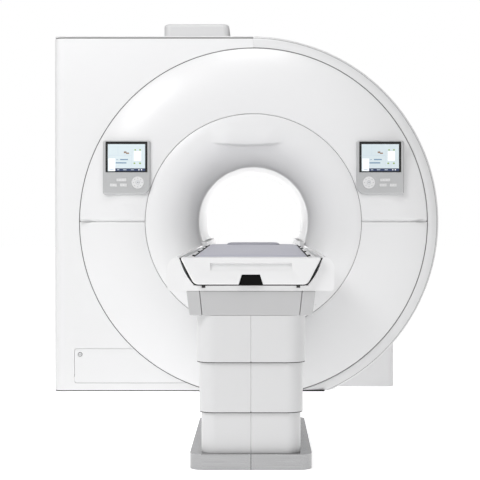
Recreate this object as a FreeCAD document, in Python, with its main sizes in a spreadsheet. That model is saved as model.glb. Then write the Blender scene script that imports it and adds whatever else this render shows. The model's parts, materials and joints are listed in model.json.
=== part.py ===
import math
import os
import re

import FreeCAD
import Part
import Sketcher

# Closed-bore magnetic resonance scanner: a gantry (magnet, coils, covers) and a patient table.
# Frame: X to the right seen from the table, Y from the table through the bore, Z up, in mm.
# Origin: the floor point straight below the middle of the bore axis.

Vector = FreeCAD.Vector
Rotation = FreeCAD.Rotation

# name, value in millimetres (one in degrees, as said) or formula of other values, meaning
DIMENSIONS = [
    # bore and round covers
    ("iso_height", 1000, "bore axis above the floor"),
    ("bore_radius", 325, "inside radius of the patient bore"),
    ("funnel_radius", 634, "seam between the entry funnel and the face rings"),
    ("face_radius", "=gantry_radius - 70", "outer radius of the face rings"),
    ("gantry_radius", "=iso_height + 97", "outer radius of the round side"),
    ("gantry_depth", 1700, "front plane to rear plane"),
    ("side_reach", "=gantry_radius + 79", "bore axis to the flat left side"),
    ("skirt_reach", 848, "bore axis to the skirt's flat right side"),
    ("skirt_setback", 200, "front plane back to the skirt"),
    ("dome_height", 55, "face rings stand this far out at the funnel seam"),
    ("dome_bend", 700, "radius of the face rings' domed section"),
    ("funnel_depth", 225, "funnel seam back to the bore's mouth"),
    ("rear_funnel_radius", 520, "seam between the rear funnel and the rear cover"),
    ("rear_funnel_depth", 180, "rear plane forward to the bore's rear mouth"),
    ("cover_wall", 8, "thickness of the moulded gantry covers"),
    ("liner_wall", 7, "thickness of the bore liner"),
    ("seam_gap", 0.6, "gap at each cover seam"),
    ("ring_seam", 0.06, "degrees left open between the face rings' halves"),
    ("floor_clear", 6, "covers end this far above the floor"),
    ("edge_round", 45, "rounded long edges of the covers"),
    ("return_reach", 60, "side cover's return along the front and rear"),
    ("lip_depth", 30, "turned-back lips of the round covers"),
    ("rim_slope", 30, "the rim band falls back this far"),
    ("rim_bend", 90, "radius of the rim band's section"),
    ("rim_depth", 90, "the rim band's depth along the side"),
    # access hatch
    ("hatch_inset", 120, "flat left side to the hatch"),
    ("hatch_low", 50, "hatch's lower edge above the floor"),
    ("hatch_height", 201, "hatch height"),
    ("lock_radius", 11, "quarter-turn lock in the hatch"),
    ("lock_inset", 33, "hatch corner to the lock's centre, both ways"),
    ("lock_slot", 3, "width and depth of the lock's coin slot"),
    ("lock_length", 14, "lock's length"),
    # turret over the cold head
    ("turret_start", 580, "bore axis to the turret cover's left side"),
    ("turret_width", 420, "turret cover width"),
    ("turret_rise", 179, "turret cover height over the deck"),
    ("turret_length", 500, "turret cover length"),
    ("turret_setback", 800, "front plane to the turret cover"),
    ("turret_wall", 5, "turret cover thickness"),
    ("turret_round", 30, "turret cover's rounded edges"),
    ("head_radius", 95, "cold head's lower flange"),
    ("head_neck", 60, "cold head's upper cylinder"),
    ("head_clear", 20, "cold head to the deck's hole"),
    # magnet and coils
    ("vessel_radius", "=gantry_radius - 147", "magnet vessel outside"),
    ("vessel_length", 1480, "magnet vessel length"),
    ("vessel_round", 40, "magnet vessel's rounded rims"),
    ("gradient_outer", 455, "gradient coil outside"),
    ("gradient_inner", 370, "gradient coil inside"),
    ("gradient_length", 1250, "gradient coil length"),
    ("vessel_bore", 465, "magnet vessel's warm bore"),
    ("body_coil_outer", 360, "body coil outside"),
    ("body_coil_inner", 340, "body coil inside"),
    ("body_coil_length", 700, "body coil length"),
    ("ring_width", 40, "width of the mounting rings between the coils"),
    ("round_fit", 0.3, "clearance between curved faces"),
    # steel frame and feet under the magnet
    ("frame_height", 30, "floor frame's bars"),
    ("frame_rail", 90, "width of the floor frame's bars"),
    ("frame_right", 425, "bore axis to the frame's right end"),
    ("frame_half", 620, "half length of the frame along the bore"),
    ("foot_start", 200, "bore axis to each magnet foot"),
    ("foot_width", 210, "magnet foot width"),
    # control panels
    ("panel_offset", 742, "bore axis to each panel's centre"),
    ("panel_height", "=iso_height + 319", "panel centre above the floor"),
    ("panel_half_x", 139, "half width of a panel"),
    ("panel_half_z", 157, "half height of a panel"),
    ("panel_front", 80, "panel face ahead of the front plane"),
    ("panel_thick", 90, "panel housing depth"),
    ("panel_corner", 52, "large corner towards the bore"),
    ("panel_small_corner", 9, "other corners"),
    ("panel_edge", 6, "rounded front edge"),
    ("screen_half", 122, "half width of the display glass"),
    ("screen_low", -28, "display's lower edge from the panel's centre"),
    ("screen_high", 151, "display's upper edge from the panel's centre"),
    ("screen_thick", 8, "display module depth"),
    ("screen_proud", 0.8, "display glass stands out this far"),
    ("jog_offset", 66, "panel centre to the jog pad, towards the bore"),
    ("jog_drop", 88, "panel centre down to the jog pad"),
    ("jog_radius", 36, "jog pad outside"),
    ("start_radius", 11, "button in the jog pad"),
    ("key_thick", 9, "keys' depth"),
    ("key_proud", 2.5, "keys stand out this far"),
    ("key_travel", 1.5, "keys' travel"),
    ("key_gap", 0.5, "gap round a key"),
    ("key_high", 18, "key height"),
    ("wide_key", 59, "wide key's width"),
    ("wide_key_offset", 29, "panel centre to the wide key, away from the bore"),
    ("wide_key_drop", 73, "panel centre down to the wide key"),
    ("small_key", 40, "small keys' width"),
    ("inner_key_offset", 17, "panel centre to the inner small key"),
    ("outer_key_offset", 76, "panel centre to the outer small key"),
    ("small_key_drop", 103, "panel centre down to the small keys"),
    # table base, column and neck
    ("table_front", "=table_head + 2565", "bore centre to the table base's front"),
    ("table_head", "=gantry_depth / 2 + dome_height + 30", "bore centre to the table's head end"),
    ("base_width", 500, "base plate width"),
    ("base_length", 1106, "base plate length"),
    ("base_height", 65, "base plate thickness"),
    ("base_round", 60, "base plate corners"),
    ("base_bevel", 9, "base plate's bevelled top edge"),
    ("column_setback", 30, "base front to the column"),
    ("column_width", 408, "lower column cover's width"),
    ("column_length", 1000, "lower column cover's length"),
    ("column_step", 9.5, "each cover is this much wider a side than the one below"),
    ("column_round", 60, "column covers' corners"),
    ("column_gap", 0.5, "gap between the telescoping covers"),
    ("middle_low", 232, "middle cover's lower edge, table up"),
    ("upper_low", 437, "upper cover's lower edge, table up"),
    ("cover_lap", 30, "column covers overlap by this"),
    ("neck_low", "=iso_height - 372", "neck's underside"),
    ("neck_half_low", 250, "neck half width at its foot"),
    ("neck_half_top", 263, "neck half width at its top"),
    ("neck_wall", 5, "neck cover's thickness"),
    ("neck_extra", 20, "the neck is this much longer than the column at each end"),
    # lifting column
    ("tube_side", 160, "outer lifting tube's width"),
    ("tube_wall", 8, "lifting tubes' wall"),
    ("tube_length", "=neck_low - base_height - lift_travel - 13", "each lifting tube's length"),
    ("tube_fit", 0.5, "gap between sliding tubes"),
    ("lift_travel", 300, "table lift's stroke"),
    ("screw_radius", 12, "lift screw"),
    ("screw_length", 335, "lift screw's length"),
    ("screw_fit", 0.05, "screw in its nut"),
    ("nut_thick", 10, "nut plate in the inner tube"),
    ("motor_width", 120, "lift motor"),
    ("motor_length", 200, "lift motor"),
    ("motor_high", 120, "lift motor"),
    # table body
    ("body_low", "=iso_height - 272", "underside of the table body"),
    ("body_half", "=cap_half_top + 53", "half width of the table body"),
    ("body_shoulder", "=iso_height - 182", "where the sides turn in"),
    ("body_top", "=iso_height - 134", "top edge of the side covers"),
    ("body_lip", "=cap_half_top + 16", "half width across the side covers' top edges"),
    ("shoulder_bend", 46, "radius of the shoulder"),
    ("body_corner", 14, "radius along the lower edge"),
    ("body_return", "=body_half - 78", "side covers turn in to here underneath"),
    ("body_wall", 5, "table covers' thickness"),
    ("deck_low", "=iso_height - 265", "underside of the table frame's deck"),
    ("deck_wall", 6, "deck thickness"),
    ("deck_half", "=body_half - 12", "half width of the deck"),
    ("beam_start", "=cap_half_low + 46", "inner side of the frame's beams"),
    ("beam_top", "=iso_height - 210", "top of the frame's beams"),
    ("fascia_wall", 8, "end fascia thickness"),
    ("fascia_setback", 10, "fascia behind the base's front"),
    ("fascia_sill", "=cap_low - 5", "fascia's edge under the foot cap"),
    # cradle
    ("cap_low", "=iso_height - 245", "underside of cradle and foot cap"),
    ("cap_top", "=iso_height - 135", "top of the foot cap"),
    ("cap_half_low", "=cap_half_top - 57", "foot cap's lower half width"),
    ("cap_half_top", 287, "foot cap's upper half width"),
    ("cap_bend", 220, "radius of the foot cap's sides"),
    ("cap_proud", 20, "foot cap ahead of the base's front"),
    ("cap_length", 120, "foot cap length"),
    ("cap_edge", 8, "foot cap's rounded front edge"),
    ("trough_gap", 4, "foot cap to the covers"),
    ("cradle_top", "=iso_height - 138", "cradle's top face"),
    ("cradle_half_top", "=cap_half_top - 17", "cradle's upper half width"),
    ("cradle_half_low", "=cap_half_low - 35", "cradle's lower half width"),
    ("cradle_bend", 210, "radius of the cradle's sides"),
    ("cradle_wall", 9, "cradle's shell"),
    ("cradle_fit", 4, "cradle to the bridge's sides"),
    ("pad_half_foot", "=cradle_half_top - 38", "pad's half width at the foot end"),
    ("pad_half_head", "=cradle_half_top - 18", "pad's half width at the head end"),
    ("pad_thick", 8, "pad thickness"),
    ("pad_margin", 16, "cradle's head end to the pad"),
    ("soft_gap", 0.3, "under soft pieces"),
    ("grip_half", "=cap_half_top - 122", "grip recess half width"),
    ("grip_low", "=cap_low + 54", "grip recess, lower edge"),
    ("grip_high", "=cap_low + 88", "grip recess, upper edge"),
    ("grip_depth", 26, "grip recess depth"),
    ("notch_half_low", 50, "handle notch's lower half width"),
    ("notch_half_top", 37, "handle notch's upper half width"),
    ("notch_high", 41, "handle notch height"),
    ("notch_depth", 40, "handle notch depth"),
    ("handle_gap", 0.8, "release handle to the notch"),
    ("handle_thick", 12, "release handle's plate"),
    ("handle_inset", 6, "release handle behind the cap's face"),
    ("handle_barrel", 5, "radius of the handle's hinge barrel"),
    ("glide_offset", "=cap_half_low - 37", "table centre to each glide rail"),
    ("glide_width", 14, "glide rail width"),
    ("glide_gap", 0.4, "glide rail to the cradle"),
    ("glide_proud", 6, "glide rails ahead of the fascia"),
    # belt drive
    ("drive_at", "=table_front - 200", "bore centre to the drive pulley"),
    ("idler_at", "=table_head + 115", "bore centre to the idler pulley"),
    ("pulley_radius", 30, "belt pulleys"),
    ("pulley_high", 10, "belt pulleys"),
    ("belt_wall", 2, "belt thickness"),
    ("belt_gap", 0.3, "belt to pulleys and clamp"),
    ("shaft_radius", 6, "pulley shaft and stud"),
    ("shaft_fit", 0.05, "shaft in its bearing"),
    ("shaft_length", 36, "drive shaft inside the motor"),
    ("drive_motor_radius", 38, "drive motor"),
    ("drive_motor_high", 84, "drive motor"),
    ("clamp_at", "=table_front - 370", "bore centre to the belt clamp"),
    ("clamp_length", 40, "belt clamp"),
    ("clamp_width", 16, "belt clamp"),
    # fixed bridge in the bore
    ("bridge_start", "=table_head - 10", "bore centre to the bridge's front end"),
    ("bridge_top", "=cradle_top + 20", "bridge's side ledges"),
    ("bridge_floor_gap", 0.6, "bridge floor to the cradle"),
]

# Values that several pieces share, as formulas of the dimensions.
FRONT = "-gantry_depth / 2"
REAR = "gantry_depth / 2"
DOME = f"{FRONT} - dome_height"
BORE_FRONT = f"{DOME} + funnel_depth"
BORE_REAR = f"{REAR} - rear_funnel_depth"
ROOF = "iso_height + gantry_radius"
UNDER_ROOF = f"{ROOF} - cover_wall - seam_gap"
RETURN = "-(side_reach - return_reach)"
COLUMN_Y = "-table_front + column_setback + column_length / 2"
DECK_TOP = "deck_low + deck_wall"
FASCIA = "-table_front + fascia_setback"
COVERS_START = f"{FASCIA} + fascia_wall + seam_gap"
CAP_FRONT = "-table_front - cap_proud"
CRADLE_START = f"{CAP_FRONT} + cap_length"
CRADLE_END = "-table_head - 5 * seam_gap"
BELT_LOW = f"{DECK_TOP} + 2 * seam_gap"

doc = FreeCAD.newDocument("mri_scanner")
sheet = doc.addObject("Spreadsheet::Sheet", "Sizes")
for row, (alias, value, meaning) in enumerate(DIMENSIONS, start=1):
    sheet.set(f"A{row}", str(value))
    sheet.setAlias(f"A{row}", alias)
    sheet.set(f"B{row}", meaning)
doc.recompute()

ALIASES = {alias for alias, value, meaning in DIMENSIONS}
pieces = []


# ---------------------------------------------------------------- formulas and placement

def formula(text):
    """Point each dimension's name in a formula at its cell in the sheet."""
    return re.sub(r"[a-z_]+", lambda word: f"Sizes.{word[0]}" if word[0] in ALIASES else word[0], str(text))


def measure(text):
    return float(sheet.evalExpression(formula(text)))


def bind(target, **formulas):
    for name, text in formulas.items():
        target.setExpression(name, formula(text))
    return target


def place(target, x="0", y="0", z="0"):
    for axis, text in zip("xyz", (x, y, z)):
        target.setExpression(f"Placement.Base.{axis}", formula(text))
    return target


def piece(label, shape_object):
    """Mark an object as one finished sub-part."""
    shape_object.Label = label
    pieces.append(shape_object)
    return shape_object


def add(kind, name):
    return doc.addObject(kind, name)


# ---------------------------------------------------------------- primitives and booleans

def block(name, x, y, z):
    """A box from its low and high formulas along X, Y and Z."""
    box = add("Part::Box", name)
    for size, (low, high) in zip(("Length", "Width", "Height"), (x, y, z)):
        box.setExpression(size, formula(f"({high}) - ({low})"))
    return place(box, x[0], y[0], z[0])


TURN = {
    "X": Rotation(Vector(0, 1, 0), 90),
    "Y": Rotation(Vector(1, 0, 0), -90),
    "Z": Rotation(),
}


def rod(name, axis, start, radius, length):
    """A cylinder that runs along +axis from its start point."""
    cylinder = add("Part::Cylinder", name)
    cylinder.Placement = FreeCAD.Placement(Vector(), TURN[axis])
    bind(cylinder, Radius=radius, Height=length)
    return place(cylinder, *start)


def cut(name, base, *tools):
    result = add("Part::Cut", name)
    result.Base = base
    result.Tool = tools[0] if len(tools) == 1 else fuse(f"{name}_tools", *tools)
    return result


def fuse(name, *parts):
    result = add("Part::MultiFuse", name)
    result.Shapes = list(parts)
    return result


def tube(name, axis, start, outer, inner, length):
    return cut(name, rod(f"{name}_outside", axis, start, outer, length),
               rod(f"{name}_inside", axis, start, inner, length))


def across_bore(name, radius, low, high):
    """A solid cylinder on the bore axis between two Y planes."""
    return rod(name, "Y", ("0", low, "iso_height"), radius, f"({high}) - ({low})")


def bore_tube(name, outer, inner, low, high):
    return tube(name, "Y", ("0", low, "iso_height"), outer, inner, f"({high}) - ({low})")


def round_edges(name, base, radius, chosen):
    """Fillet the edges of a solid that a test picks out."""
    doc.recompute()
    size = measure(radius)
    result = add("Part::Fillet", name)
    result.Base = base
    result.Edges = [(number, size, size) for number, edge in enumerate(base.Shape.Edges, start=1)
                    if chosen(edge)]
    return result


def runs_along(edge, axis):
    """True for a straight edge along X, Y or Z."""
    if edge.Curve.TypeId != "Part::GeomLine":
        return False
    return abs(abs(edge.tangentAt(edge.FirstParameter)[{"X": 0, "Y": 1, "Z": 2}[axis]]) - 1) < 1e-6


# ---------------------------------------------------------------- constrained sketches

PLANES = {
    "XY": Rotation(),
    "XZ": Rotation(Vector(1, 0, 0), 90),
    "YZ": Rotation(Vector(1, 1, 1), 120),
}


def arc_between(start, end, radius, side):
    """An arc from start to end, its centre to the left (1) or right (-1) of the way."""
    chord = end - start
    reach = math.sqrt(max(radius ** 2 - (chord.Length / 2) ** 2, 0))
    across = Vector(-chord.y, chord.x, 0).normalize()
    centre = (start + end) / 2 + across * reach * side
    first, last = (start, end) if side > 0 else (end, start)
    angles = [math.atan2(point.y - centre.y, point.x - centre.x) for point in (first, last)]
    return Part.ArcOfCircle(Part.Circle(centre, Vector(0, 0, 1), radius), *angles)


def draw(sketch, points, closed=True):
    """Lines and arcs through points, each point held by two dimensions.

    A point is (x, y), or (x, y, radius, side) where an arc leaves it for the next point.
    """
    spots = [Vector(measure(point[0]), measure(point[1]), 0) for point in points]
    count = len(points) if closed else len(points) - 1
    first = sketch.GeometryCount
    ends = []
    for step in range(count):
        start, end = spots[step], spots[(step + 1) % len(points)]
        bend = points[step][2:]
        if bend:
            curve = arc_between(start, end, measure(bend[0]), bend[1])
        else:
            curve = Part.LineSegment(start, end)
        number = sketch.addGeometry(curve, False)
        ends.append((number, 2, 1) if bend and bend[1] < 0 else (number, 1, 2))
    for step in range(count):
        number, start, end = ends[step]
        for kind, value in (("DistanceX", 0), ("DistanceY", 1)):
            hold(sketch, kind, number, start, points[step][value])
        if points[step][2:]:
            index = sketch.addConstraint(Sketcher.Constraint("Radius", number, measure(points[step][2])))
            sketch.setExpression(f"Constraints[{index}]", formula(points[step][2]))
        if step + 1 < count or closed:
            following = ends[(step + 1) % count]
            sketch.addConstraint(Sketcher.Constraint("Coincident", number, end, following[0], following[1]))
    if not closed:
        number, start, end = ends[-1]
        for kind, value in (("DistanceX", 0), ("DistanceY", 1)):
            hold(sketch, kind, number, end, points[-1][value])
    return first


def hold(sketch, kind, number, end, text):
    """Tie one coordinate of a sketch point to a formula."""
    index = sketch.addConstraint(Sketcher.Constraint(kind, -1, 1, number, end, measure(text)))
    sketch.setExpression(f"Constraints[{index}]", formula(text))


def profile(name, plane, points, closed=True, at="0"):
    """A free sketch in a plane that is moved along its normal axis to at."""
    sketch = add("Sketcher::SketchObject", name)
    sketch.Placement = FreeCAD.Placement(Vector(), PLANES[plane])
    normal = {"XY": "z", "XZ": "y", "YZ": "x"}[plane]
    place(sketch, **{normal: at})
    draw(sketch, points, closed)
    return sketch


def sheet_of(name, path, wall):
    """The closed section of a folded or moulded wall that follows an open path."""
    section = add("Part::Offset2D", name)
    section.Source = path
    section.Fill = True
    section.Mode = "Skin"
    section.Join = "Intersection"
    section.Value = measure(wall)
    return bind(section, Value=wall)


def extrude(name, section, direction, length):
    result = add("Part::Extrusion", name)
    result.Base = section
    result.DirMode = "Custom"
    result.Dir = Vector(*direction)
    result.Solid = True
    return bind(result, LengthFwd=length)


def revolve(name, section, angle):
    """Turn a section about the bore axis."""
    result = add("Part::Revolution", name)
    result.Source = section
    result.Axis = Vector(0, 1, 0)
    result.Solid = True
    result.Angle = measure(angle)
    result.Base = Vector(0, 0, measure("iso_height"))
    result.setExpression("Base.z", formula("iso_height"))
    return bind(result, Angle=angle)


# ---------------------------------------------------------------- bodies built feature by feature

def new_body(name):
    return add("PartDesign::Body", name)


def body_sketch(body, role, name, offset="0"):
    """A sketch on one of the body's own origin planes, shifted along its normal."""
    sketch = body.newObject("Sketcher::SketchObject", name)
    plane = next(item for item in body.Origin.OriginFeatures if item.Role == role)
    sketch.AttachmentSupport = [(plane, "")]
    sketch.MapMode = "FlatFace"
    sketch.setExpression("AttachmentOffset.Base.z", formula(offset))
    return sketch


def feature(body, kind, name, sketch, reversed_way=False, **formulas):
    result = body.newObject(f"PartDesign::{kind}", name)
    result.Profile = sketch
    result.Reversed = reversed_way
    for key, text in formulas.items():
        setattr(result, key, measure(text))
    return bind(result, **formulas)


def rectangle(left, low, right, high):
    return [(left, low), (right, low), (right, high), (left, high)]


def circle(sketch, x, y, radius):
    """A circle held by its centre and radius."""
    centre = Vector(measure(x), measure(y), 0)
    number = sketch.addGeometry(Part.Circle(centre, Vector(0, 0, 1), measure(radius)), False)
    hold(sketch, "DistanceX", number, 3, x)
    hold(sketch, "DistanceY", number, 3, y)
    index = sketch.addConstraint(Sketcher.Constraint("Radius", number, measure(radius)))
    sketch.setExpression(f"Constraints[{index}]", formula(radius))


def dress(body, kind, name, chosen, **formulas):
    """Round or bevel the edges of the latest feature that a test picks out."""
    doc.recompute()
    base = body.Tip
    names = [f"Edge{number}" for number, edge in enumerate(base.Shape.Edges, start=1) if chosen(edge)]
    result = body.newObject(f"PartDesign::{kind}", name)
    result.Base = (base, names)
    for key, text in formulas.items():
        setattr(result, key, measure(text))
    return bind(result, **formulas)


# ---------------------------------------------------------------- gantry: magnet and coils

def magnet():
    """Vacuum vessel of the magnet, one sealed unit, turned about the bore axis."""
    body = new_body("magnet_body")
    place(body, z="iso_height")
    section = body_sketch(body, "YZ_Plane", "magnet_section")
    draw(section, rectangle("-vessel_length / 2", "vessel_bore", "vessel_length / 2", "vessel_radius"))
    turned = body.newObject("PartDesign::Revolution", "magnet_turned")
    turned.Profile = section
    turned.ReferenceAxis = (section, ["H_Axis"])
    turned.Angle = 360
    dress(body, "Fillet", "magnet_rims", lambda edge: edge.Length > 6 * measure("vessel_bore"),
          Radius="vessel_round")
    piece("magnet_vessel", body)


def coils():
    half = "gradient_length / 2"
    piece("gradient_coil", bore_tube("gradient", "gradient_outer", "gradient_inner", f"-{half}", half))
    half = "body_coil_length / 2"
    piece("body_coil", bore_tube("rf_coil", "body_coil_outer", "body_coil_inner", f"-{half}", half))
    piece("bore_liner", bore_tube("liner", "bore_radius + liner_wall", "bore_radius",
                                  BORE_FRONT, BORE_REAR))
    nests = [
        ("vessel_bore", "gradient_outer", "gradient_length / 2"),
        ("gradient_inner", "body_coil_outer", "body_coil_length / 2"),
        ("body_coil_inner", "bore_radius + liner_wall", "body_coil_length / 2"),
    ]
    rings = []
    for number, (outer, inner, reach) in enumerate(nests):
        for end in (-1, 1):
            inside = f"{end} * ({reach} - ring_width)"
            outside = f"{end} * ({reach})"
            low, high = (outside, inside) if end < 0 else (inside, outside)
            rings.append(bore_tube(f"mount_ring_{number}_{(end + 1) // 2}", f"{outer} - round_fit",
                                   f"{inner} + round_fit", low, high))
    piece("coil_mounts", fuse("coil_rings", *rings))


def cold_head():
    """Refrigerator on top of the vessel, under the turret cover."""
    centre = ("-turret_start + turret_width / 2", f"{FRONT} + turret_setback + turret_length / 2")
    seat = "iso_height + vessel_radius / 2"
    flange_top = f"{ROOF} + turret_rise / 3"
    lower = rod("head_flange", "Z", (*centre, seat), "head_radius", f"{flange_top} - ({seat})")
    upper = rod("head_cylinder", "Z", (*centre, flange_top), "head_neck", "turret_rise / 2")
    vessel = across_bore("head_seat", "vessel_radius + round_fit",
                         "-vessel_length / 2", "vessel_length / 2")
    piece("cold_head", cut("cold_head_cut", fuse("head_parts", lower, upper), vessel))


def floor_frame():
    """Welded bars on the floor and two saddle feet that carry the magnet."""
    left, right = f"{RETURN} + return_reach / 2", "frame_right"
    rails = [block(f"long_bar_{number}", (left, right), (low, f"{low} + frame_rail"), ("0", "frame_height"))
             for number, low in enumerate(("-frame_half", "-frame_rail / 2", "frame_half - frame_rail"))]
    bars = [block(f"cross_bar_{number}", (low, f"{low} + frame_rail"), ("-frame_half", "frame_half"),
                  ("0", "frame_height"))
            for number, low in enumerate((left, "-foot_start - foot_width / 2 - frame_rail / 2",
                                          "frame_right - frame_rail"))]
    piece("floor_frame", fuse("frame_bars", *rails, *bars))
    spans = (("-foot_start - foot_width", "-foot_start"), ("foot_start", "foot_start + foot_width"))
    feet = [block(f"foot_{number}", span, ("-frame_half", "frame_half"),
                  ("frame_height", "iso_height - vessel_radius * 0.8")) for number, span in enumerate(spans)]
    vessel = across_bore("foot_saddle", "vessel_radius + round_fit", "-gantry_depth", "gantry_depth")
    piece("magnet_feet", cut("magnet_feet_cut", fuse("foot_blocks", *feet), vessel))


# ---------------------------------------------------------------- gantry: covers

def below_floor_line(name, level="floor_clear"):
    """Everything under the covers' lower edge."""
    return block(name, ("-2 * side_reach", "2 * side_reach"), ("-gantry_depth", "gantry_depth"),
                 ("-gantry_radius", level))


def panel_openings():
    """Holes in the upper face ring that the control panels pass through."""
    holes = []
    for number, toward_bore in enumerate((1, -1)):
        centre = f"{-toward_bore} * panel_offset"
        hole = block(f"panel_hole_{number}",
                     (f"{centre} - panel_half_x - seam_gap", f"{centre} + panel_half_x + seam_gap"),
                     (f"{DOME} - lip_depth", f"{FRONT} + 4 * lip_depth"),
                     ("panel_height - panel_half_z - seam_gap", "panel_height + panel_half_z + seam_gap"))

        def large(edge):
            box = edge.BoundBox
            middle = -toward_bore * measure("panel_offset")
            return (runs_along(edge, "Y") and (box.XMin - middle) * toward_bore > 0
                    and box.ZMin < measure("panel_height"))

        holes.append(round_edges(f"panel_hole_round_{number}", hole, "panel_corner + seam_gap", large))
    return holes


def face_rings():
    """Domed ring round the funnel in an upper and a lower half, with turned-back lips."""
    for name, tools in (("upper", panel_openings()), ("lower", [below_floor_line("ring_floor")])):
        path = profile(f"ring_path_{name}", "YZ", [
            (f"{FRONT} + lip_depth", "iso_height + face_radius"),
            (FRONT, "iso_height + face_radius", "dome_bend", 1),
            (DOME, "iso_height + funnel_radius + seam_gap"),
            (f"{DOME} + lip_depth", "iso_height + funnel_radius + seam_gap"),
        ], closed=False)
        section = sheet_of(f"ring_section_{name}", path, "-cover_wall")
        ring = revolve(f"ring_{name}", section, "180 - ring_seam")
        ring.Symmetric = True
        if name == "lower":
            ring.Placement = FreeCAD.Placement(Vector(), Rotation(Vector(0, 1, 0), 180))
            place(ring, z="2 * iso_height")
        piece(f"face_ring_{name}", cut(f"face_ring_{name}_cut", ring, *tools))


def entry_funnel():
    """Bell-mouthed funnel from the face rings into the bore."""
    bend = "(funnel_depth ^ 2 + (funnel_radius - bore_radius) ^ 2) / (2 * (funnel_radius - bore_radius))"
    path = profile("funnel_path", "YZ", [
        (f"{DOME} + lip_depth", "iso_height + funnel_radius"),
        (DOME, "iso_height + funnel_radius", bend, 1),
        (BORE_FRONT + " - seam_gap", "iso_height + bore_radius"),
    ], closed=False)
    piece("entry_funnel", revolve("funnel_turned", sheet_of("funnel_section", path, "-cover_wall"), "360"))


def rear_funnel():
    reach = "rear_funnel_radius - bore_radius"
    bend = f"(rear_funnel_depth ^ 2 + ({reach}) ^ 2) / (2 * ({reach}))"
    path = profile("rear_funnel_path", "YZ", [
        (f"{REAR} - lip_depth", "iso_height + rear_funnel_radius"),
        (REAR, "iso_height + rear_funnel_radius", bend, -1),
        (BORE_REAR + " + seam_gap", "iso_height + bore_radius"),
    ], closed=False)
    piece("rear_funnel", revolve("rear_funnel_turned", sheet_of("rear_funnel_section", path, "cover_wall"),
                                 "360"))


def round_side():
    """Rim band round the face and the round right side behind it."""
    path = profile("rim_path", "YZ", [
        (f"{FRONT} + lip_depth", "iso_height + face_radius + seam_gap"),
        (FRONT, "iso_height + face_radius + seam_gap", "rim_bend", -1),
        (f"{FRONT} + rim_slope", "iso_height + gantry_radius"),
        (f"{FRONT} + rim_depth", "iso_height + gantry_radius"),
    ], closed=False)
    band = revolve("rim_turned", sheet_of("rim_section", path, "cover_wall"), "170")
    piece("rim_band", cut("rim_band_cut", band, below_floor_line("rim_floor")))

    path = profile("side_path", "YZ", [
        (f"{FRONT} + rim_depth + seam_gap", "iso_height + gantry_radius"),
        (f"{REAR} - edge_round", "iso_height + gantry_radius", "edge_round", -1),
        (REAR, "iso_height + gantry_radius - edge_round"),
    ], closed=False)
    side = revolve("side_turned", sheet_of("side_section", path, "cover_wall"), "160")
    piece("right_side_cover", cut("right_side_cut", side,
                                  below_floor_line("side_floor", "frame_height + seam_gap")))


def right_skirt():
    """Upright cover that closes the round side down to the floor."""
    front, rear, reach = f"{FRONT} + skirt_setback", f"{REAR} - edge_round - cover_wall", "skirt_reach"
    start = "frame_right + return_reach"
    path = profile("skirt_path", "XY", [
        (start, front),
        (f"{reach} - edge_round", front, "edge_round", 1),
        (reach, f"{front} + edge_round"),
        (reach, f"{rear} - edge_round", "edge_round", 1),
        (f"{reach} - edge_round", rear),
        (start, rear),
    ], closed=False, at="floor_clear")
    wall = extrude("skirt_wall", sheet_of("skirt_section", path, "-cover_wall"), (0, 0, 1), "iso_height / 2")
    round_part = across_bore("skirt_round", "gantry_radius + seam_gap", "-gantry_depth", "gantry_depth")
    piece("right_skirt", cut("right_skirt_cut", wall, round_part))


def flat_side():
    """Flat left side with rounded upright edges, and the deck on top."""
    side = "-side_reach"
    path = profile("left_path", "XY", [
        (RETURN, FRONT),
        (f"{side} + edge_round", FRONT, "edge_round", -1),
        (side, f"{FRONT} + edge_round"),
        (side, f"{REAR} - edge_round", "edge_round", -1),
        (f"{side} + edge_round", REAR),
        (RETURN, REAR),
    ], closed=False, at="floor_clear")
    section = sheet_of("left_section", path, "cover_wall")
    piece("left_side_cover", extrude("left_wall", section, (0, 0, 1), f"{UNDER_ROOF} - floor_clear"))

    deck = block("deck_plate", (side, "-seam_gap"), (FRONT, REAR), (f"{ROOF} - cover_wall", ROOF))
    rounded = round_edges("deck_rounded", deck, "cover_wall * 0.75",
                          lambda edge: edge.BoundBox.ZMin > measure(ROOF) - 0.1
                          and edge.BoundBox.XMin < measure(side) + 0.1
                          and edge.BoundBox.XMax < measure(side) + 0.1)
    hole = rod("deck_hole", "Z", ("-turret_start + turret_width / 2",
                                  f"{FRONT} + turret_setback + turret_length / 2", "iso_height"),
               "head_radius + head_clear", "2 * gantry_radius")
    piece("top_deck", cut("top_deck_cut", rounded, hole))


def hatch_box(name, gap):
    """The hatch's outline, grown by a gap, running on past the ring seam."""
    left = "-(side_reach - hatch_inset)"
    return block(name, (f"{left} - ({gap})", "-seam_gap"),
                 (f"{FRONT} - cover_wall", f"{FRONT} + 2 * cover_wall"),
                 (f"hatch_low - ({gap})", f"hatch_low + hatch_height + ({gap})"))


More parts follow.
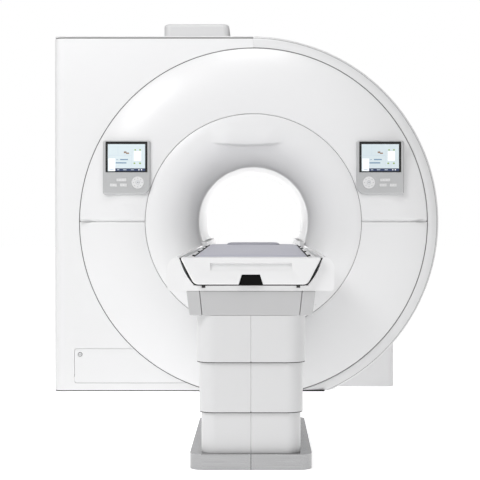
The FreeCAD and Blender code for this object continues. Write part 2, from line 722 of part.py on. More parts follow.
def front_panel():
    """Flat front left of the face rings, with its access hatch and quarter-turn lock."""
    plate = block("front_plate", (f"{RETURN} + seam_gap", "-seam_gap"), (FRONT, f"{FRONT} + cover_wall"),
                  ("floor_clear", UNDER_ROOF))
    ring = across_bore("front_ring_edge", "face_radius + 2 * seam_gap", "-gantry_depth", "0")
    piece("left_front_panel", cut("left_front_cut", plate, ring, hatch_box("hatch_opening", "seam_gap")))

    plate = block("hatch_plate", ("-(side_reach - hatch_inset)", "-seam_gap"),
                  (FRONT, f"{FRONT} + cover_wall"), ("hatch_low", "hatch_low + hatch_height"))
    edge = across_bore("hatch_ring_edge", "face_radius + 2 * seam_gap", "-gantry_depth", "0")
    centre = ("-(side_reach - hatch_inset - lock_inset)", "hatch_low + hatch_height - lock_inset")
    hole = rod("lock_hole", "Y", (centre[0], f"{FRONT} - cover_wall", centre[1]), "lock_radius + round_fit",
               "3 * cover_wall")
    piece("service_hatch", cut("service_hatch_cut", plate, edge, hole))

    barrel = rod("lock_barrel", "Y", (centre[0], FRONT, centre[1]), "lock_radius", "lock_length")
    slot = block("lock_slot_cut", (f"{centre[0]} - lock_radius", f"{centre[0]} + lock_radius"),
                 (f"{FRONT} - lock_slot", f"{FRONT} + lock_slot"),
                 (f"{centre[1]} - lock_slot / 2", f"{centre[1]} + lock_slot / 2"))
    piece("hatch_lock", cut("hatch_lock_cut", barrel, slot))


def rear_cover():
    """Flat rear closing plate round the rear funnel."""
    inner_radius = "gantry_radius - edge_round - seam_gap"
    low, high = f"{REAR} - cover_wall", REAR
    left = block("rear_left", (f"{RETURN} + seam_gap", "0"), (low, high), ("floor_clear", UNDER_ROOF))
    disc = across_bore("rear_disc", inner_radius, low, high)
    hole = across_bore("rear_hole", "rear_funnel_radius + seam_gap", "0", "gantry_depth")
    floor = below_floor_line("rear_floor")
    piece("rear_cover", cut("rear_cover_cut", fuse("rear_outline", left, disc), hole, floor))


def turret_cover():
    """Box cover over the cold head."""
    x = ("-turret_start", "-turret_start + turret_width")
    y = (f"{FRONT} + turret_setback", f"{FRONT} + turret_setback + turret_length")
    z = (ROOF, f"{ROOF} + turret_rise")
    outside = round_edges("turret_rounded", block("turret_box", x, y, z), "turret_round",
                          lambda edge: runs_along(edge, "Z") or edge.BoundBox.ZMin > measure(z[1]) - 0.1)
    grown = [(f"{low} + turret_wall", f"{high} - turret_wall") for low, high in (x, y)]
    inside = block("turret_inside", *grown, (f"{ROOF} - turret_wall", f"{z[1]} - turret_wall"))
    inner = round_edges("turret_hollow", inside, "turret_round - turret_wall",
                        lambda edge: runs_along(edge, "Z") or edge.BoundBox.ZMin > measure(z[1]) - 6)
    piece("turret_cover", cut("turret_cover_cut", outside, inner))


# ---------------------------------------------------------------- control panels

def panel(side, toward_bore):
    """One control panel: housing, display, jog pad with its button, and three keys."""
    spot = dict(x=f"{-toward_bore} * panel_offset", y=f"{FRONT} - panel_front", z="panel_height")
    away = -toward_bore
    jog = (f"{toward_bore} * jog_offset", "-jog_drop")
    keys = {
        "wide_key": (f"{away} * wide_key_offset", "-wide_key_drop", "wide_key"),
        "inner_key": (f"{away} * inner_key_offset", "-small_key_drop", "small_key"),
        "outer_key": (f"{away} * outer_key_offset", "-small_key_drop", "small_key"),
    }
    keys = {name: rectangle(f"{x} - {width} / 2", f"{z} - key_high / 2", f"{x} + {width} / 2",
                            f"{z} + key_high / 2") for name, (x, z, width) in keys.items()}
    screen = rectangle("-screen_half", "screen_low", "screen_half", "screen_high")

    body = new_body(f"housing_{side}_body")
    place(body, **spot)
    outline = body_sketch(body, "XZ_Plane", f"housing_outline_{side}")
    draw(outline, rectangle("-panel_half_x", "-panel_half_z", "panel_half_x", "panel_half_z"))
    feature(body, "Pad", f"housing_pad_{side}", outline, True, Length="panel_thick")

    def large(edge):
        box = edge.BoundBox
        return runs_along(edge, "Y") and box.XMin * toward_bore > 0 and box.ZMin < 0

    dress(body, "Fillet", f"housing_large_{side}", large, Radius="panel_corner")
    dress(body, "Fillet", f"housing_small_{side}",
          lambda edge: runs_along(edge, "Y") and abs(edge.BoundBox.XMin) > measure("panel_half_x") - 1
          and (edge.BoundBox.ZMin > 0 or edge.BoundBox.XMin * toward_bore < 0),
          Radius="panel_small_corner")
    dress(body, "Fillet", f"housing_edge_{side}", lambda edge: edge.BoundBox.YMax < 0.01,
          Radius="panel_edge")
    pocket = body_sketch(body, "XZ_Plane", f"screen_pocket_{side}")
    draw(pocket, grow(screen, "key_gap"))
    feature(body, "Pocket", f"screen_recess_{side}", pocket, Length="screen_thick - screen_proud + key_gap")
    pocket = body_sketch(body, "XZ_Plane", f"keys_pocket_{side}")
    for corners in keys.values():
        draw(pocket, grow(corners, "key_gap"))
    circle(pocket, *jog, "jog_radius + key_gap")
    feature(body, "Pocket", f"keys_recess_{side}", pocket,
            Length="key_thick - key_proud + key_travel + key_gap")
    piece(f"panel_housing_{side}", body)

    body = new_body(f"screen_{side}_body")
    place(body, **{**spot, "y": f"{spot['y']} - screen_proud"})
    outline = body_sketch(body, "XZ_Plane", f"screen_outline_{side}")
    draw(outline, screen)
    feature(body, "Pad", f"screen_pad_{side}", outline, True, Length="screen_thick")
    piece(f"panel_screen_{side}", body)

    spot["y"] = f"{spot['y']} - key_proud"
    for name, corners in keys.items():
        body = new_body(f"{name}_{side}_body")
        place(body, **spot)
        outline = body_sketch(body, "XZ_Plane", f"{name}_outline_{side}")
        draw(outline, corners)
        feature(body, "Pad", f"{name}_pad_{side}", outline, True, Length="key_thick")
        dress(body, "Fillet", f"{name}_edge_{side}", lambda edge: edge.BoundBox.YMax < 0.01,
              Radius="key_proud / 2")
        piece(f"{name}_{side}", body)

    body = new_body(f"jog_{side}_body")
    place(body, **spot)
    outline = body_sketch(body, "XZ_Plane", f"jog_outline_{side}")
    circle(outline, *jog, "jog_radius")
    circle(outline, *jog, "start_radius + key_gap")
    feature(body, "Pad", f"jog_disc_{side}", outline, True, Length="key_thick")
    dress(body, "Fillet", f"jog_edge_{side}", lambda edge: edge.BoundBox.YMax < 0.01,
          Radius="key_proud / 2")
    piece(f"jog_pad_{side}", body)

    body = new_body(f"start_{side}_body")
    place(body, **spot)
    outline = body_sketch(body, "XZ_Plane", f"start_outline_{side}")
    circle(outline, *jog, "start_radius")
    feature(body, "Pad", f"start_pad_{side}", outline, True, Length="key_thick")
    dress(body, "Fillet", f"start_edge_{side}", lambda edge: edge.BoundBox.YMax < 0.01,
          Radius="key_proud / 2")
    piece(f"start_button_{side}", body)


def grow(corners, gap):
    """A rectangle's corners moved outwards by a gap."""
    ways = ((-1, -1), (1, -1), (1, 1), (-1, 1))
    return [(f"{x} + {across} * {gap}", f"{z} + {up} * {gap}")
            for (x, z), (across, up) in zip(corners, ways)]


# ---------------------------------------------------------------- table: base, column, lift

def table_base():
    body = new_body("base_body")
    place(body, y="-table_front")
    outline = body_sketch(body, "XY_Plane", "base_outline")
    draw(outline, rectangle("-base_width / 2", "0", "base_width / 2", "base_length"))
    feature(body, "Pad", "base_pad", outline, Length="base_height")
    dress(body, "Fillet", "base_corners", lambda edge: runs_along(edge, "Z"), Radius="base_round")
    dress(body, "Chamfer", "base_bevelled",
          lambda edge: edge.BoundBox.ZMin > measure("base_height") - 0.1, Size="base_bevel")
    piece("table_base", body)


def square_tube(name, half, length_half, wall, low, high, corner=None):
    """An upright tube of rectangular section round the column's centre line."""
    def walls(label, shrink):
        inner_half = f"({length_half}) - ({shrink})"
        return block(label, (f"-({half}) + ({shrink})", f"({half}) - ({shrink})"),
                     (f"{COLUMN_Y} - ({inner_half})", f"{COLUMN_Y} + ({inner_half})"), (low, high))
    outside, inside = walls(f"{name}_outside", "0"), walls(f"{name}_inside", wall)
    if corner:
        outside = round_edges(f"{name}_outer_round", outside, corner, lambda edge: runs_along(edge, "Z"))
        inside = round_edges(f"{name}_inner_round", inside, f"{corner} - ({wall})",
                             lambda edge: runs_along(edge, "Z"))
    return cut(name, outside, inside)


def column_covers():
    """Three telescoping covers, each wider than the one below it."""
    heights = [
        ("lower", "base_height", "middle_low + cover_lap"),
        ("middle", "middle_low", "upper_low + cover_lap"),
        ("upper", "upper_low", "neck_low - seam_gap"),
    ]
    for steps, (name, low, high) in enumerate(heights):
        piece(f"column_cover_{name}",
              square_tube(f"cover_{name}", f"column_width / 2 + {steps} * column_step",
                          f"column_length / 2 + {steps} * column_step", "column_step - column_gap", low, high,
                          f"column_round + {steps} * column_step"))


def lifting_column():
    """Three telescoping steel tubes, the screw in them and its motor."""
    step = "(tube_wall + tube_fit)"
    start = "base_height + seam_gap"
    half = "lift_travel / 2"
    stages = [("outer", start), ("middle", f"{start} + {half}"),
              ("inner", "neck_low - seam_gap - tube_length")]
    for number, (name, low) in enumerate(stages):
        side = f"tube_side / 2 - {number} * {step}"
        stage = square_tube(f"stage_{name}", side, side, "tube_wall", low, f"{low} + tube_length")
        if name == "inner":
            plate = block("nut_plate", (f"-({side}) + tube_wall / 2", f"{side} - tube_wall / 2"),
                          (f"{COLUMN_Y} - ({side}) + tube_wall / 2", f"{COLUMN_Y} + {side} - tube_wall / 2"),
                          (low, f"{low} + nut_thick"))
            bore = rod("nut_bore", "Z", ("0", COLUMN_Y, low), "screw_radius + screw_fit", "nut_thick")
            stage = fuse("stage_inner_nut", stage, cut("nut", plate, bore))
        piece(f"lift_tube_{name}", stage)

    flange = rod("screw_flange", "Z", ("0", COLUMN_Y, start), "2 * screw_radius", "nut_thick")
    shank = rod("screw_shank", "Z", ("0", COLUMN_Y, start), "screw_radius", "screw_length")
    piece("lift_screw", fuse("screw", flange, shank))
    wall = f"{COLUMN_Y} + tube_side / 2 + tube_fit"
    piece("lift_motor", block("lift_motor_box", ("-motor_width / 2", "motor_width / 2"),
                              (wall, f"{wall} + motor_length"), ("base_height", "base_height + motor_high")))


def neck_cover():
    """Tapered box cover between the column and the table body."""
    length = "column_length / 2 + neck_extra"
    top = "body_low - seam_gap"

    def wedge(name, wall, lift, reach):
        outline = [(f"-neck_half_low + {wall}", f"neck_low + {lift}"),
                   (f"neck_half_low - {wall}", f"neck_low + {lift}"),
                   (f"neck_half_top - {wall}", top), (f"-neck_half_top + {wall}", top)]
        section = profile(f"{name}_section", "XZ", outline, at=f"{COLUMN_Y} - ({reach})")
        return extrude(name, section, (0, 1, 0), f"2 * ({reach})")

    outside = wedge("neck_outside", "0", "0", length)
    inside = wedge("neck_inside", "neck_wall", "neck_wall", f"{length} - neck_wall")
    hole_half = "tube_side / 2 - 2 * (tube_wall + tube_fit) + tube_fit"
    hole = block("neck_hole", (f"-({hole_half})", hole_half), (f"{COLUMN_Y} - ({hole_half})",
                                                            f"{COLUMN_Y} + ({hole_half})"),
                 ("neck_low - neck_wall", "neck_low + 2 * neck_wall"))
    piece("neck_cover", cut("neck_cover_cut", outside, inside, hole))


# ---------------------------------------------------------------- table: frame, covers, cradle

def table_frame():
    """Welded frame: pedestal on the lift, deck, two side beams and the idler's stud."""
    ends = (COVERS_START, "-table_head - seam_gap")
    deck = block("deck", ("-deck_half", "deck_half"), ends, ("deck_low", DECK_TOP))
    beams = [block(f"beam_{number}", x, ends, (DECK_TOP, "beam_top"))
             for number, x in enumerate((("-deck_half", "-beam_start"), ("beam_start", "deck_half")))]
    hollows = [block(f"beam_hollow_{number}", x, ends, (f"{DECK_TOP} + deck_wall", "beam_top - deck_wall"))
               for number, x in enumerate((("-deck_half + deck_wall", "-beam_start - deck_wall"),
                                           ("beam_start + deck_wall", "deck_half - deck_wall")))]
    half = "tube_side / 2 - 2 * (tube_wall + tube_fit)"
    pedestal = square_tube("pedestal", half, half, "tube_wall", "neck_low - seam_gap", "deck_low")
    stud = rod("idler_stud", "Z", ("0", "-idler_at", "deck_low"), "shaft_radius",
               f"{BELT_LOW} + pulley_high - deck_low")
    hole = rod("drive_hole", "Z", ("0", "-drive_at", "deck_low - deck_wall"), "2 * shaft_radius",
               "3 * deck_wall")
    welded = fuse("frame_welded", deck, *beams, pedestal, stud)
    piece("table_frame", cut("table_frame_cut", welded, *hollows, hole))


def trough(side, gap, low_half, top_half, bend, top, low="cap_low"):
    """The cradle's side from its lower to its upper corner, on one side, grown by a gap."""
    return [(f"{side} * ({low_half} + {gap})", low, f"{bend} + {gap}", side),
            (f"{side} * ({top_half} + {gap})", top)]


def body_side(side):
    """Outer section of the table body from the top edge down to its underside."""
    return [
        (f"{side} * body_lip", "body_top", "shoulder_bend", -side),
        (f"{side} * body_half", "body_shoulder"),
        (f"{side} * body_half", "body_low + body_corner", "body_corner", -side),
        (f"{side} * (body_half - body_corner)", "body_low"),
    ]


def table_covers():
    """Side covers along the table, and the fascia round the foot cap."""
    for name, side in (("left", -1), ("right", 1)):
        inner = trough(side, "trough_gap", "cap_half_low", "cap_half_top", "cap_bend", "cap_top")
        path = profile(f"table_side_path_{name}", "XZ", [
            (f"{side} * (cap_half_low + trough_gap)", f"{DECK_TOP} + seam_gap"),
            *inner,
            *body_side(side),
            (f"{side} * body_return", "body_low"),
        ], closed=False, at=COVERS_START)
        section = sheet_of(f"table_side_section_{name}", path, f"{-side} * body_wall")
        piece(f"table_side_{name}", extrude(f"table_side_{name}_run", section, (0, 1, 0),
                                            f"-table_head - ({COVERS_START})"))

    right = trough(1, "trough_gap", "cap_half_low", "cap_half_top", "cap_bend", "cap_top")
    left = trough(-1, "trough_gap", "cap_half_low", "cap_half_top", "cap_bend", "cap_top")
    ring = profile("fascia_outline", "XZ", [
        ("cap_half_low + trough_gap", "fascia_sill"),
        *right,
        *body_side(1),
        *reverse(body_side(-1)),
        *reverse(left),
        ("-(cap_half_low + trough_gap)", "fascia_sill"),
    ], at=FASCIA)
    plate = extrude("fascia_plate", ring, (0, 1, 0), "fascia_wall")
    notches = [block(f"fascia_notch_{number}", glide_span(side, "glide_gap"),
                     (f"{FASCIA} - fascia_wall", f"{FASCIA} + 2 * fascia_wall"),
                     (DECK_TOP, "body_top")) for number, side in enumerate((-1, 1))]
    piece("foot_fascia", cut("foot_fascia_cut", plate, *notches))


def reverse(points):
    """The same outline walked the other way."""
    spots = [point[:2] for point in points][::-1]
    bends = [point[2:] for point in points][:-1][::-1] + [()]
    return [spot + ((bend[0], -bend[1]) if bend else ()) for spot, bend in zip(spots, bends)]


def glide_span(side, gap="0"):
    low, high = sorted((f"{side} * glide_offset - glide_width / 2 - ({gap})",
                        f"{side} * glide_offset + glide_width / 2 + ({gap})"), key=measure)
    return low, high


def glide_rails():
    """Two plastic rails that the cradle slides on."""
    rails = [block(f"glide_{number}", glide_span(side), (f"{FASCIA} - glide_proud", "-table_head - seam_gap"),
                   (DECK_TOP, "cap_low - glide_gap")) for number, side in enumerate((-1, 1))]
    piece("glide_rails", fuse("glides", *rails))


def cradle_outline(gap="0", top="cradle_top", low="cap_low"):
    """Closed section of the cradle."""
    right = trough(1, gap, "cradle_half_low", "cradle_half_top", "cradle_bend", top, low)
    left = trough(-1, gap, "cradle_half_low", "cradle_half_top", "cradle_bend", top, low)
    return [*right, *reverse(left)]


def cradle():
    """Hollow patient carrier with its pad, foot cap, release handle and belt clamp."""
    length = f"{CRADLE_END} - ({CRADLE_START})"
    shell = extrude("cradle_outside", profile("cradle_section", "XZ", cradle_outline(), at=CRADLE_START),
                    (0, 1, 0), length)
    inside = cradle_outline("-cradle_wall", "cradle_top - cradle_wall", "cap_low + cradle_wall")
    hollow = extrude("cradle_inside", profile("cradle_hollow", "XZ", inside,
                                              at=f"{CRADLE_START} + cradle_wall"),
                     (0, 1, 0), f"{length} - 2 * cradle_wall")
    grip = "pulley_radius + belt_wall + 2 * belt_gap"
    clamp = block("belt_clamp", (grip, f"{grip} + clamp_width"),
                  ("-clamp_at - clamp_length / 2", "-clamp_at + clamp_length / 2"),
                  (f"{BELT_LOW} + belt_gap", "cap_low + cradle_wall / 2"))
    piece("cradle", fuse("cradle_whole", cut("cradle_shell", shell, hollow), clamp))

    body = new_body("pad_body")
    place(body, z="cradle_top + soft_gap")
    outline = body_sketch(body, "XY_Plane", "pad_outline")
    start, end = f"{CRADLE_START} + seam_gap", f"{CRADLE_END} - pad_margin"
    draw(outline, [("-pad_half_foot", start), ("pad_half_foot", start),
                   ("pad_half_head", end), ("-pad_half_head", end)])
    feature(body, "Pad", "pad_foam", outline, Length="pad_thick")
    piece("cradle_pad", body)
    foot_cap()
    release_handle()


def foot_cap():
    body = new_body("cap_body")
    place(body, y=CAP_FRONT)
    right = trough(1, "0", "cap_half_low", "cap_half_top", "cap_bend", "cap_top")
    left = trough(-1, "0", "cap_half_low", "cap_half_top", "cap_bend", "cap_top")
    outline = body_sketch(body, "XZ_Plane", "cap_outline")
    draw(outline, [*right, *reverse(left)])
    feature(body, "Pad", "cap_pad", outline, True, Length="cap_length - seam_gap")
    dress(body, "Fillet", "cap_rounded", lambda edge: edge.BoundBox.YMax < 0.01, Radius="cap_edge")
    grip = body_sketch(body, "XZ_Plane", "grip_outline")
    draw(grip, rectangle("-grip_half", "grip_low", "grip_half", "grip_high"))
    feature(body, "Pocket", "grip_recess", grip, Length="grip_depth")
    notch = body_sketch(body, "XZ_Plane", "notch_outline")
    draw(notch, [("-notch_half_low", "cap_low - seam_gap"), ("notch_half_low", "cap_low - seam_gap"),
                 ("notch_half_top", "cap_low + notch_high"), ("-notch_half_top", "cap_low + notch_high")])
    feature(body, "Pocket", "notch_recess", notch, Length="notch_depth")
    piece("foot_cap", body)


def release_handle():
    """Black lever in the notch that frees the cradle from its belt."""
    front = f"{CAP_FRONT} + handle_inset"
    barrel_z = "cap_low + notch_high - handle_barrel - 2 * handle_gap"
    section = profile("handle_section", "XZ", [
        ("-notch_half_low + 2 * handle_gap", "cap_low + handle_gap"),
        ("notch_half_low - 2 * handle_gap", "cap_low + handle_gap"),
        ("notch_half_top + handle_gap", barrel_z),
        ("-notch_half_top - handle_gap", barrel_z),
    ], at=front)
    plate = extrude("handle_plate", section, (0, 1, 0), "handle_thick")
    barrel = rod("handle_barrel_rod", "X", ("-notch_half_top", f"{front} + handle_thick / 2", barrel_z),
                 "handle_barrel", "2 * notch_half_top")
    piece("release_handle", fuse("handle_whole", plate, barrel))


def stadium(name, radius, low, high):
    """The outline round both pulleys at a radius, as an upright solid."""
    ends = [rod(f"{name}_end_{number}", "Z", ("0", y, low), radius, f"({high}) - ({low})")
            for number, y in enumerate(("-drive_at", "-idler_at"))]
    middle = block(f"{name}_middle", (f"-({radius})", radius), ("-drive_at", "-idler_at"), (low, high))
    return fuse(name, *ends, middle)


def belt_drive():
    """Motor under the deck, two pulleys and the flat belt that pulls the cradle."""
    top = f"{BELT_LOW} + pulley_high"
    disc = rod("drive_disc", "Z", ("0", "-drive_at", BELT_LOW), "pulley_radius", "pulley_high")
    shaft = rod("drive_shaft", "Z", ("0", "-drive_at", "deck_low - seam_gap - shaft_length"),
                "shaft_radius", f"{top} - deck_low + seam_gap + shaft_length")
    piece("drive_pulley", fuse("drive_pulley_whole", disc, shaft))
    piece("idler_pulley", tube("idler", "Z", ("0", "-idler_at", BELT_LOW), "pulley_radius",
                               "shaft_radius + shaft_fit", "pulley_high"))
    low, high = f"{BELT_LOW} + belt_gap", f"{top} - belt_gap"
    inner = "pulley_radius + belt_gap"
    piece("drive_belt", cut("belt", stadium("belt_outside", f"{inner} + belt_wall", low, high),
                            stadium("belt_inside", inner, low, high)))
    case = rod("motor_case", "Z", ("0", "-drive_at", "deck_low - seam_gap - drive_motor_high"),
               "drive_motor_radius", "drive_motor_high")
    bearing = rod("motor_bearing", "Z", ("0", "-drive_at", "deck_low - 2 * seam_gap - shaft_length"),
                  "shaft_radius + shaft_fit", "2 * shaft_length")
    piece("drive_motor", cut("drive_motor_cut", case, bearing))


def bore_bridge():
    """Fixed trough in the bore that carries the cradle on from the table."""
    ends = ("-bridge_start", BORE_REAR)
    segment = across_bore("bridge_round", "bore_radius - round_fit", *ends)
    above = block("bridge_above", ("-bore_radius", "bore_radius"), ends,
                  ("bridge_top", "iso_height + bore_radius"))
    right, left = (trough(side, "cradle_fit", "cradle_half_low", "cradle_half_top", "cradle_bend",
                          "cradle_top", "cap_low - bridge_floor_gap") for side in (1, -1))
    opening = [*right, ("cradle_half_top + cradle_fit", "iso_height"),
               ("-(cradle_half_top + cradle_fit)", "iso_height"), *reverse(left)]
    way = extrude("bridge_way", profile("bridge_way_section", "XZ", opening, at="-bridge_start"),
                  (0, 1, 0), f"{BORE_REAR} + bridge_start")
    piece("bore_bridge", cut("bore_bridge_cut", segment, above, way))


# ---------------------------------------------------------------- build, check, write

magnet()
coils()
cold_head()
floor_frame()
face_rings()
entry_funnel()
rear_funnel()
round_side()
right_skirt()
flat_side()
front_panel()
rear_cover()
turret_cover()
panel("left", 1)
panel("right", -1)
table_base()
column_covers()
lifting_column()
neck_cover()
table_frame()
table_covers()
glide_rails()
cradle()
belt_drive()
bore_bridge()
doc.recompute()

faults = [f"{item.Label}: {item.State}" for item in doc.Objects
          if {"Invalid", "Error"} & set(item.State)]
for item in pieces:
    shape = item.Shape
    if shape.isNull() or not shape.isValid() or not shape.Solids or shape.Volume <= 0:
        faults.append(f"{item.Label}: no valid solid")
if faults:
    raise RuntimeError("\n".join(faults))

os.makedirs("parts", exist_ok=True)
for item in pieces:
    item.Shape.exportStep(os.path.join("parts", f"{item.Label}.step"))
print(f"{len(pieces)} parts written")
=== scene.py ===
import json
import math

import bmesh
import bpy
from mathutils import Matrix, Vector


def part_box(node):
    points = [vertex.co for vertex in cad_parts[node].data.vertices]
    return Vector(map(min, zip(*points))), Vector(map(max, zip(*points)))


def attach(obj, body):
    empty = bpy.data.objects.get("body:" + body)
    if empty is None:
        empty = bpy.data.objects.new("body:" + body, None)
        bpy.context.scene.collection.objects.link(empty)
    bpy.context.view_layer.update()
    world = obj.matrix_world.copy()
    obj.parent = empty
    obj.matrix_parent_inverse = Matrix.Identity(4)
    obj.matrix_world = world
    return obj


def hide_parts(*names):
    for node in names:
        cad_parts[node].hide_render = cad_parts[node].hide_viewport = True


# Closed-bore scanner with its patient table. Metres: X right, Y into the bore, Z up.

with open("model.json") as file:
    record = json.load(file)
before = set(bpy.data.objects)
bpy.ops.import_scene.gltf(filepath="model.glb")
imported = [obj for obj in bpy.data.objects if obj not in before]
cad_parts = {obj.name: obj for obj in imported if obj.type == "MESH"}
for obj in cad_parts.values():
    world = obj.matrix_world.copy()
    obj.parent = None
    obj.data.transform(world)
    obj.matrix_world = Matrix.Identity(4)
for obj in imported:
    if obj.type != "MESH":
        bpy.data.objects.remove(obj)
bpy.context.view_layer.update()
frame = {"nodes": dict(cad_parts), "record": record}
nodes = frame["nodes"]
scene = bpy.context.scene

ISO = 1.0                                # bore axis above the floor
FRONT, REAR = -0.85, 0.85                # the gantry's front and rear planes
DOME = -0.905                            # the face rings' inner edge
FACE, FUNNEL, BORE = 1.027, 0.634, 0.325  # radii of the face rings, the funnel and the bore
RIM = 1.0968                             # radius of the round side
WALL = 0.008                             # cover thickness
SIDE = -1.1759                           # flat left side
FLOOR_LINE = 0.006                       # the covers' lower edge
DECK = 2.097                             # top of the gantry


# ------------------------------------------------------------------ camera

def make_camera():
    data = bpy.data.cameras.new("camera")
    camera = bpy.data.objects.new("camera", data)
    scene.collection.objects.link(camera)
    camera.location = (0.033, -9.35, 1.028)
    camera.rotation_euler = (math.radians(90), 0, 0)
    data.lens, data.sensor_width = 108, 36
    data.shift_x, data.shift_y = -0.0396, -0.0475
    data.clip_end = 100
    scene.camera = camera


make_camera()


# ------------------------------------------------------------------ shader helpers

class Graph:
    """A node tree with short calls for adding and joining nodes."""

    def __init__(self, tree):
        self.tree = tree
        tree.nodes.clear()

    def feed(self, socket, value):
        if isinstance(value, bpy.types.NodeSocket):
            self.tree.links.new(value, socket)
        else:
            socket.default_value = value

    def add(self, kind, settings=None, **inputs):
        node = self.tree.nodes.new(kind)
        for name, value in (settings or {}).items():
            setattr(node, name, value)
        for name, value in inputs.items():
            self.feed(node.inputs[name.replace("_", " ")], value)
        return node

    def math(self, operation, first, second=0.0):
        node = self.add("ShaderNodeMath", {"operation": operation})
        self.feed(node.inputs[0], first)
        self.feed(node.inputs[1], second)
        return node.outputs[0]

    def ramp(self, value, low, high, out_low=0.0, out_high=1.0):
        node = self.add("ShaderNodeMapRange", {"clamp": True}, Value=value, From_Min=low, From_Max=high,
                        To_Min=out_low, To_Max=out_high)
        return node.outputs["Result"]

    def noise(self, place, scale, detail=2.0, roughness=0.5):
        node = self.add("ShaderNodeTexNoise", Vector=place, Scale=scale, Detail=detail, Roughness=roughness)
        return node.outputs["Fac"]


def grey(level):
    return (level, level, level, 1)


NUMBER, COLOUR, VECTOR = "NodeSocketFloat", "NodeSocketColor", "NodeSocketVector"


def new_group(name, inputs, outputs):
    """A shader node group: inputs are (name, kind, default), outputs are (name, kind)."""
    tree = bpy.data.node_groups.new(name, "ShaderNodeTree")
    for title, kind, default in inputs:
        tree.interface.new_socket(title, in_out="INPUT", socket_type=kind).default_value = default
    for title, kind in outputs:
        tree.interface.new_socket(title, in_out="OUTPUT", socket_type=kind)
    graph = Graph(tree)
    return graph, tree, graph.add("NodeGroupInput").outputs, graph.add("NodeGroupOutput").inputs


def make_unevenness():
    """Slight unevenness of a wiped surface: tone, gloss and a fine grain."""
    graph, tree, given, out = new_group("surface_unevenness", [
        ("Colour", COLOUR, grey(0.8)), ("Tone", NUMBER, 0.03), ("Roughness", NUMBER, 0.3),
        ("Smear", NUMBER, 0.06), ("Grain Scale", NUMBER, 900.0), ("Grain", NUMBER, 0.0001),
    ], [("Colour", COLOUR), ("Roughness", NUMBER), ("Normal", VECTOR)])
    place = graph.add("ShaderNodeTexCoord").outputs["Object"]
    tone = graph.math("MULTIPLY", graph.math("SUBTRACT", graph.noise(place, 1.7, 3.0), 0.5), given["Tone"])
    shade = graph.add("ShaderNodeHueSaturation", Value=graph.math("ADD", tone, 1.0), Color=given["Colour"])
    graph.feed(out["Colour"], shade.outputs[0])
    smear = graph.math("SUBTRACT", graph.noise(place, 9.0, 4.0, 0.6), 0.5)
    graph.feed(out["Roughness"], graph.math("ADD", graph.math("MULTIPLY", smear, given["Smear"]),
                                            given["Roughness"]))
    grain = graph.noise(place, given["Grain Scale"])
    bump = graph.add("ShaderNodeBump", Strength=0.5, Distance=given["Grain"], Height=grain)
    graph.feed(out["Normal"], bump.outputs["Normal"])
    return tree


def make_brushing():
    """Fine lines of brushed metal that run along X."""
    graph, tree, given, out = new_group("brushed_lines", [
        ("Colour", COLOUR, grey(0.6)), ("Roughness", NUMBER, 0.3), ("Depth", NUMBER, 0.00006),
    ], [("Colour", COLOUR), ("Roughness", NUMBER), ("Normal", VECTOR)])
    place = graph.add("ShaderNodeTexCoord").outputs["Object"]
    stretched = graph.add("ShaderNodeMapping", Vector=place, Scale=(3, 420, 420)).outputs[0]
    lines = graph.noise(stretched, 1.0, 3.0, 0.6)
    tone = graph.ramp(lines, 0.3, 0.7, 0.85, 1.12)
    shade = graph.add("ShaderNodeHueSaturation", Value=tone, Color=given["Colour"])
    graph.feed(out["Colour"], shade.outputs[0])
    graph.feed(out["Roughness"], graph.math("ADD", graph.ramp(lines, 0.2, 0.8, -0.05, 0.06),
                                            given["Roughness"]))
    bump = graph.add("ShaderNodeBump", Strength=0.6, Distance=given["Depth"], Height=lines)
    graph.feed(out["Normal"], bump.outputs["Normal"])
    return tree


UNEVENNESS, BRUSHING = make_unevenness(), make_brushing()
materials = {}


def shaded(name, group, inputs, plain):
    """A material whose colour, roughness and normal come from a shared group."""
    material = bpy.data.materials.new(name)
    material.use_nodes = True
    graph = Graph(material.node_tree)
    shader = graph.add("ShaderNodeBsdfPrincipled")
    effect = graph.add("ShaderNodeGroup", {"node_tree": group}, **inputs).outputs
    for socket, title in (("Base Color", "Colour"), ("Roughness", "Roughness"), ("Normal", "Normal")):
        graph.feed(shader.inputs[socket], effect[title])
    for title, value in plain.items():
        shader.inputs[title.replace("_", " ")].default_value = value
    graph.add("ShaderNodeOutputMaterial", Surface=shader.outputs[0])
    materials[name] = material
    return material


def finish(name, colour, roughness, tone=0.03, smear=0.06, grain_scale=900.0, grain=0.0001, **plain):
    """Paint, plastic or vinyl; plain values go on the shader's own sockets."""
    return shaded(name, UNEVENNESS, dict(Colour=colour, Tone=tone, Roughness=roughness, Smear=smear,
                                         Grain_Scale=grain_scale, Grain=grain), plain)


def brushed(name, colour, roughness, depth=0.00006, **plain):
    return shaded(name, BRUSHING, dict(Colour=colour, Roughness=roughness, Depth=depth), plain)


def lit(name, colour, strength=0.12):
    """A lit area of a display, with a little light of its own."""
    material = finish(name, colour, 0.25, tone=0.02, Emission_Strength=strength)
    material.node_tree.nodes["Principled BSDF"].inputs["Emission Color"].default_value = colour
    return material


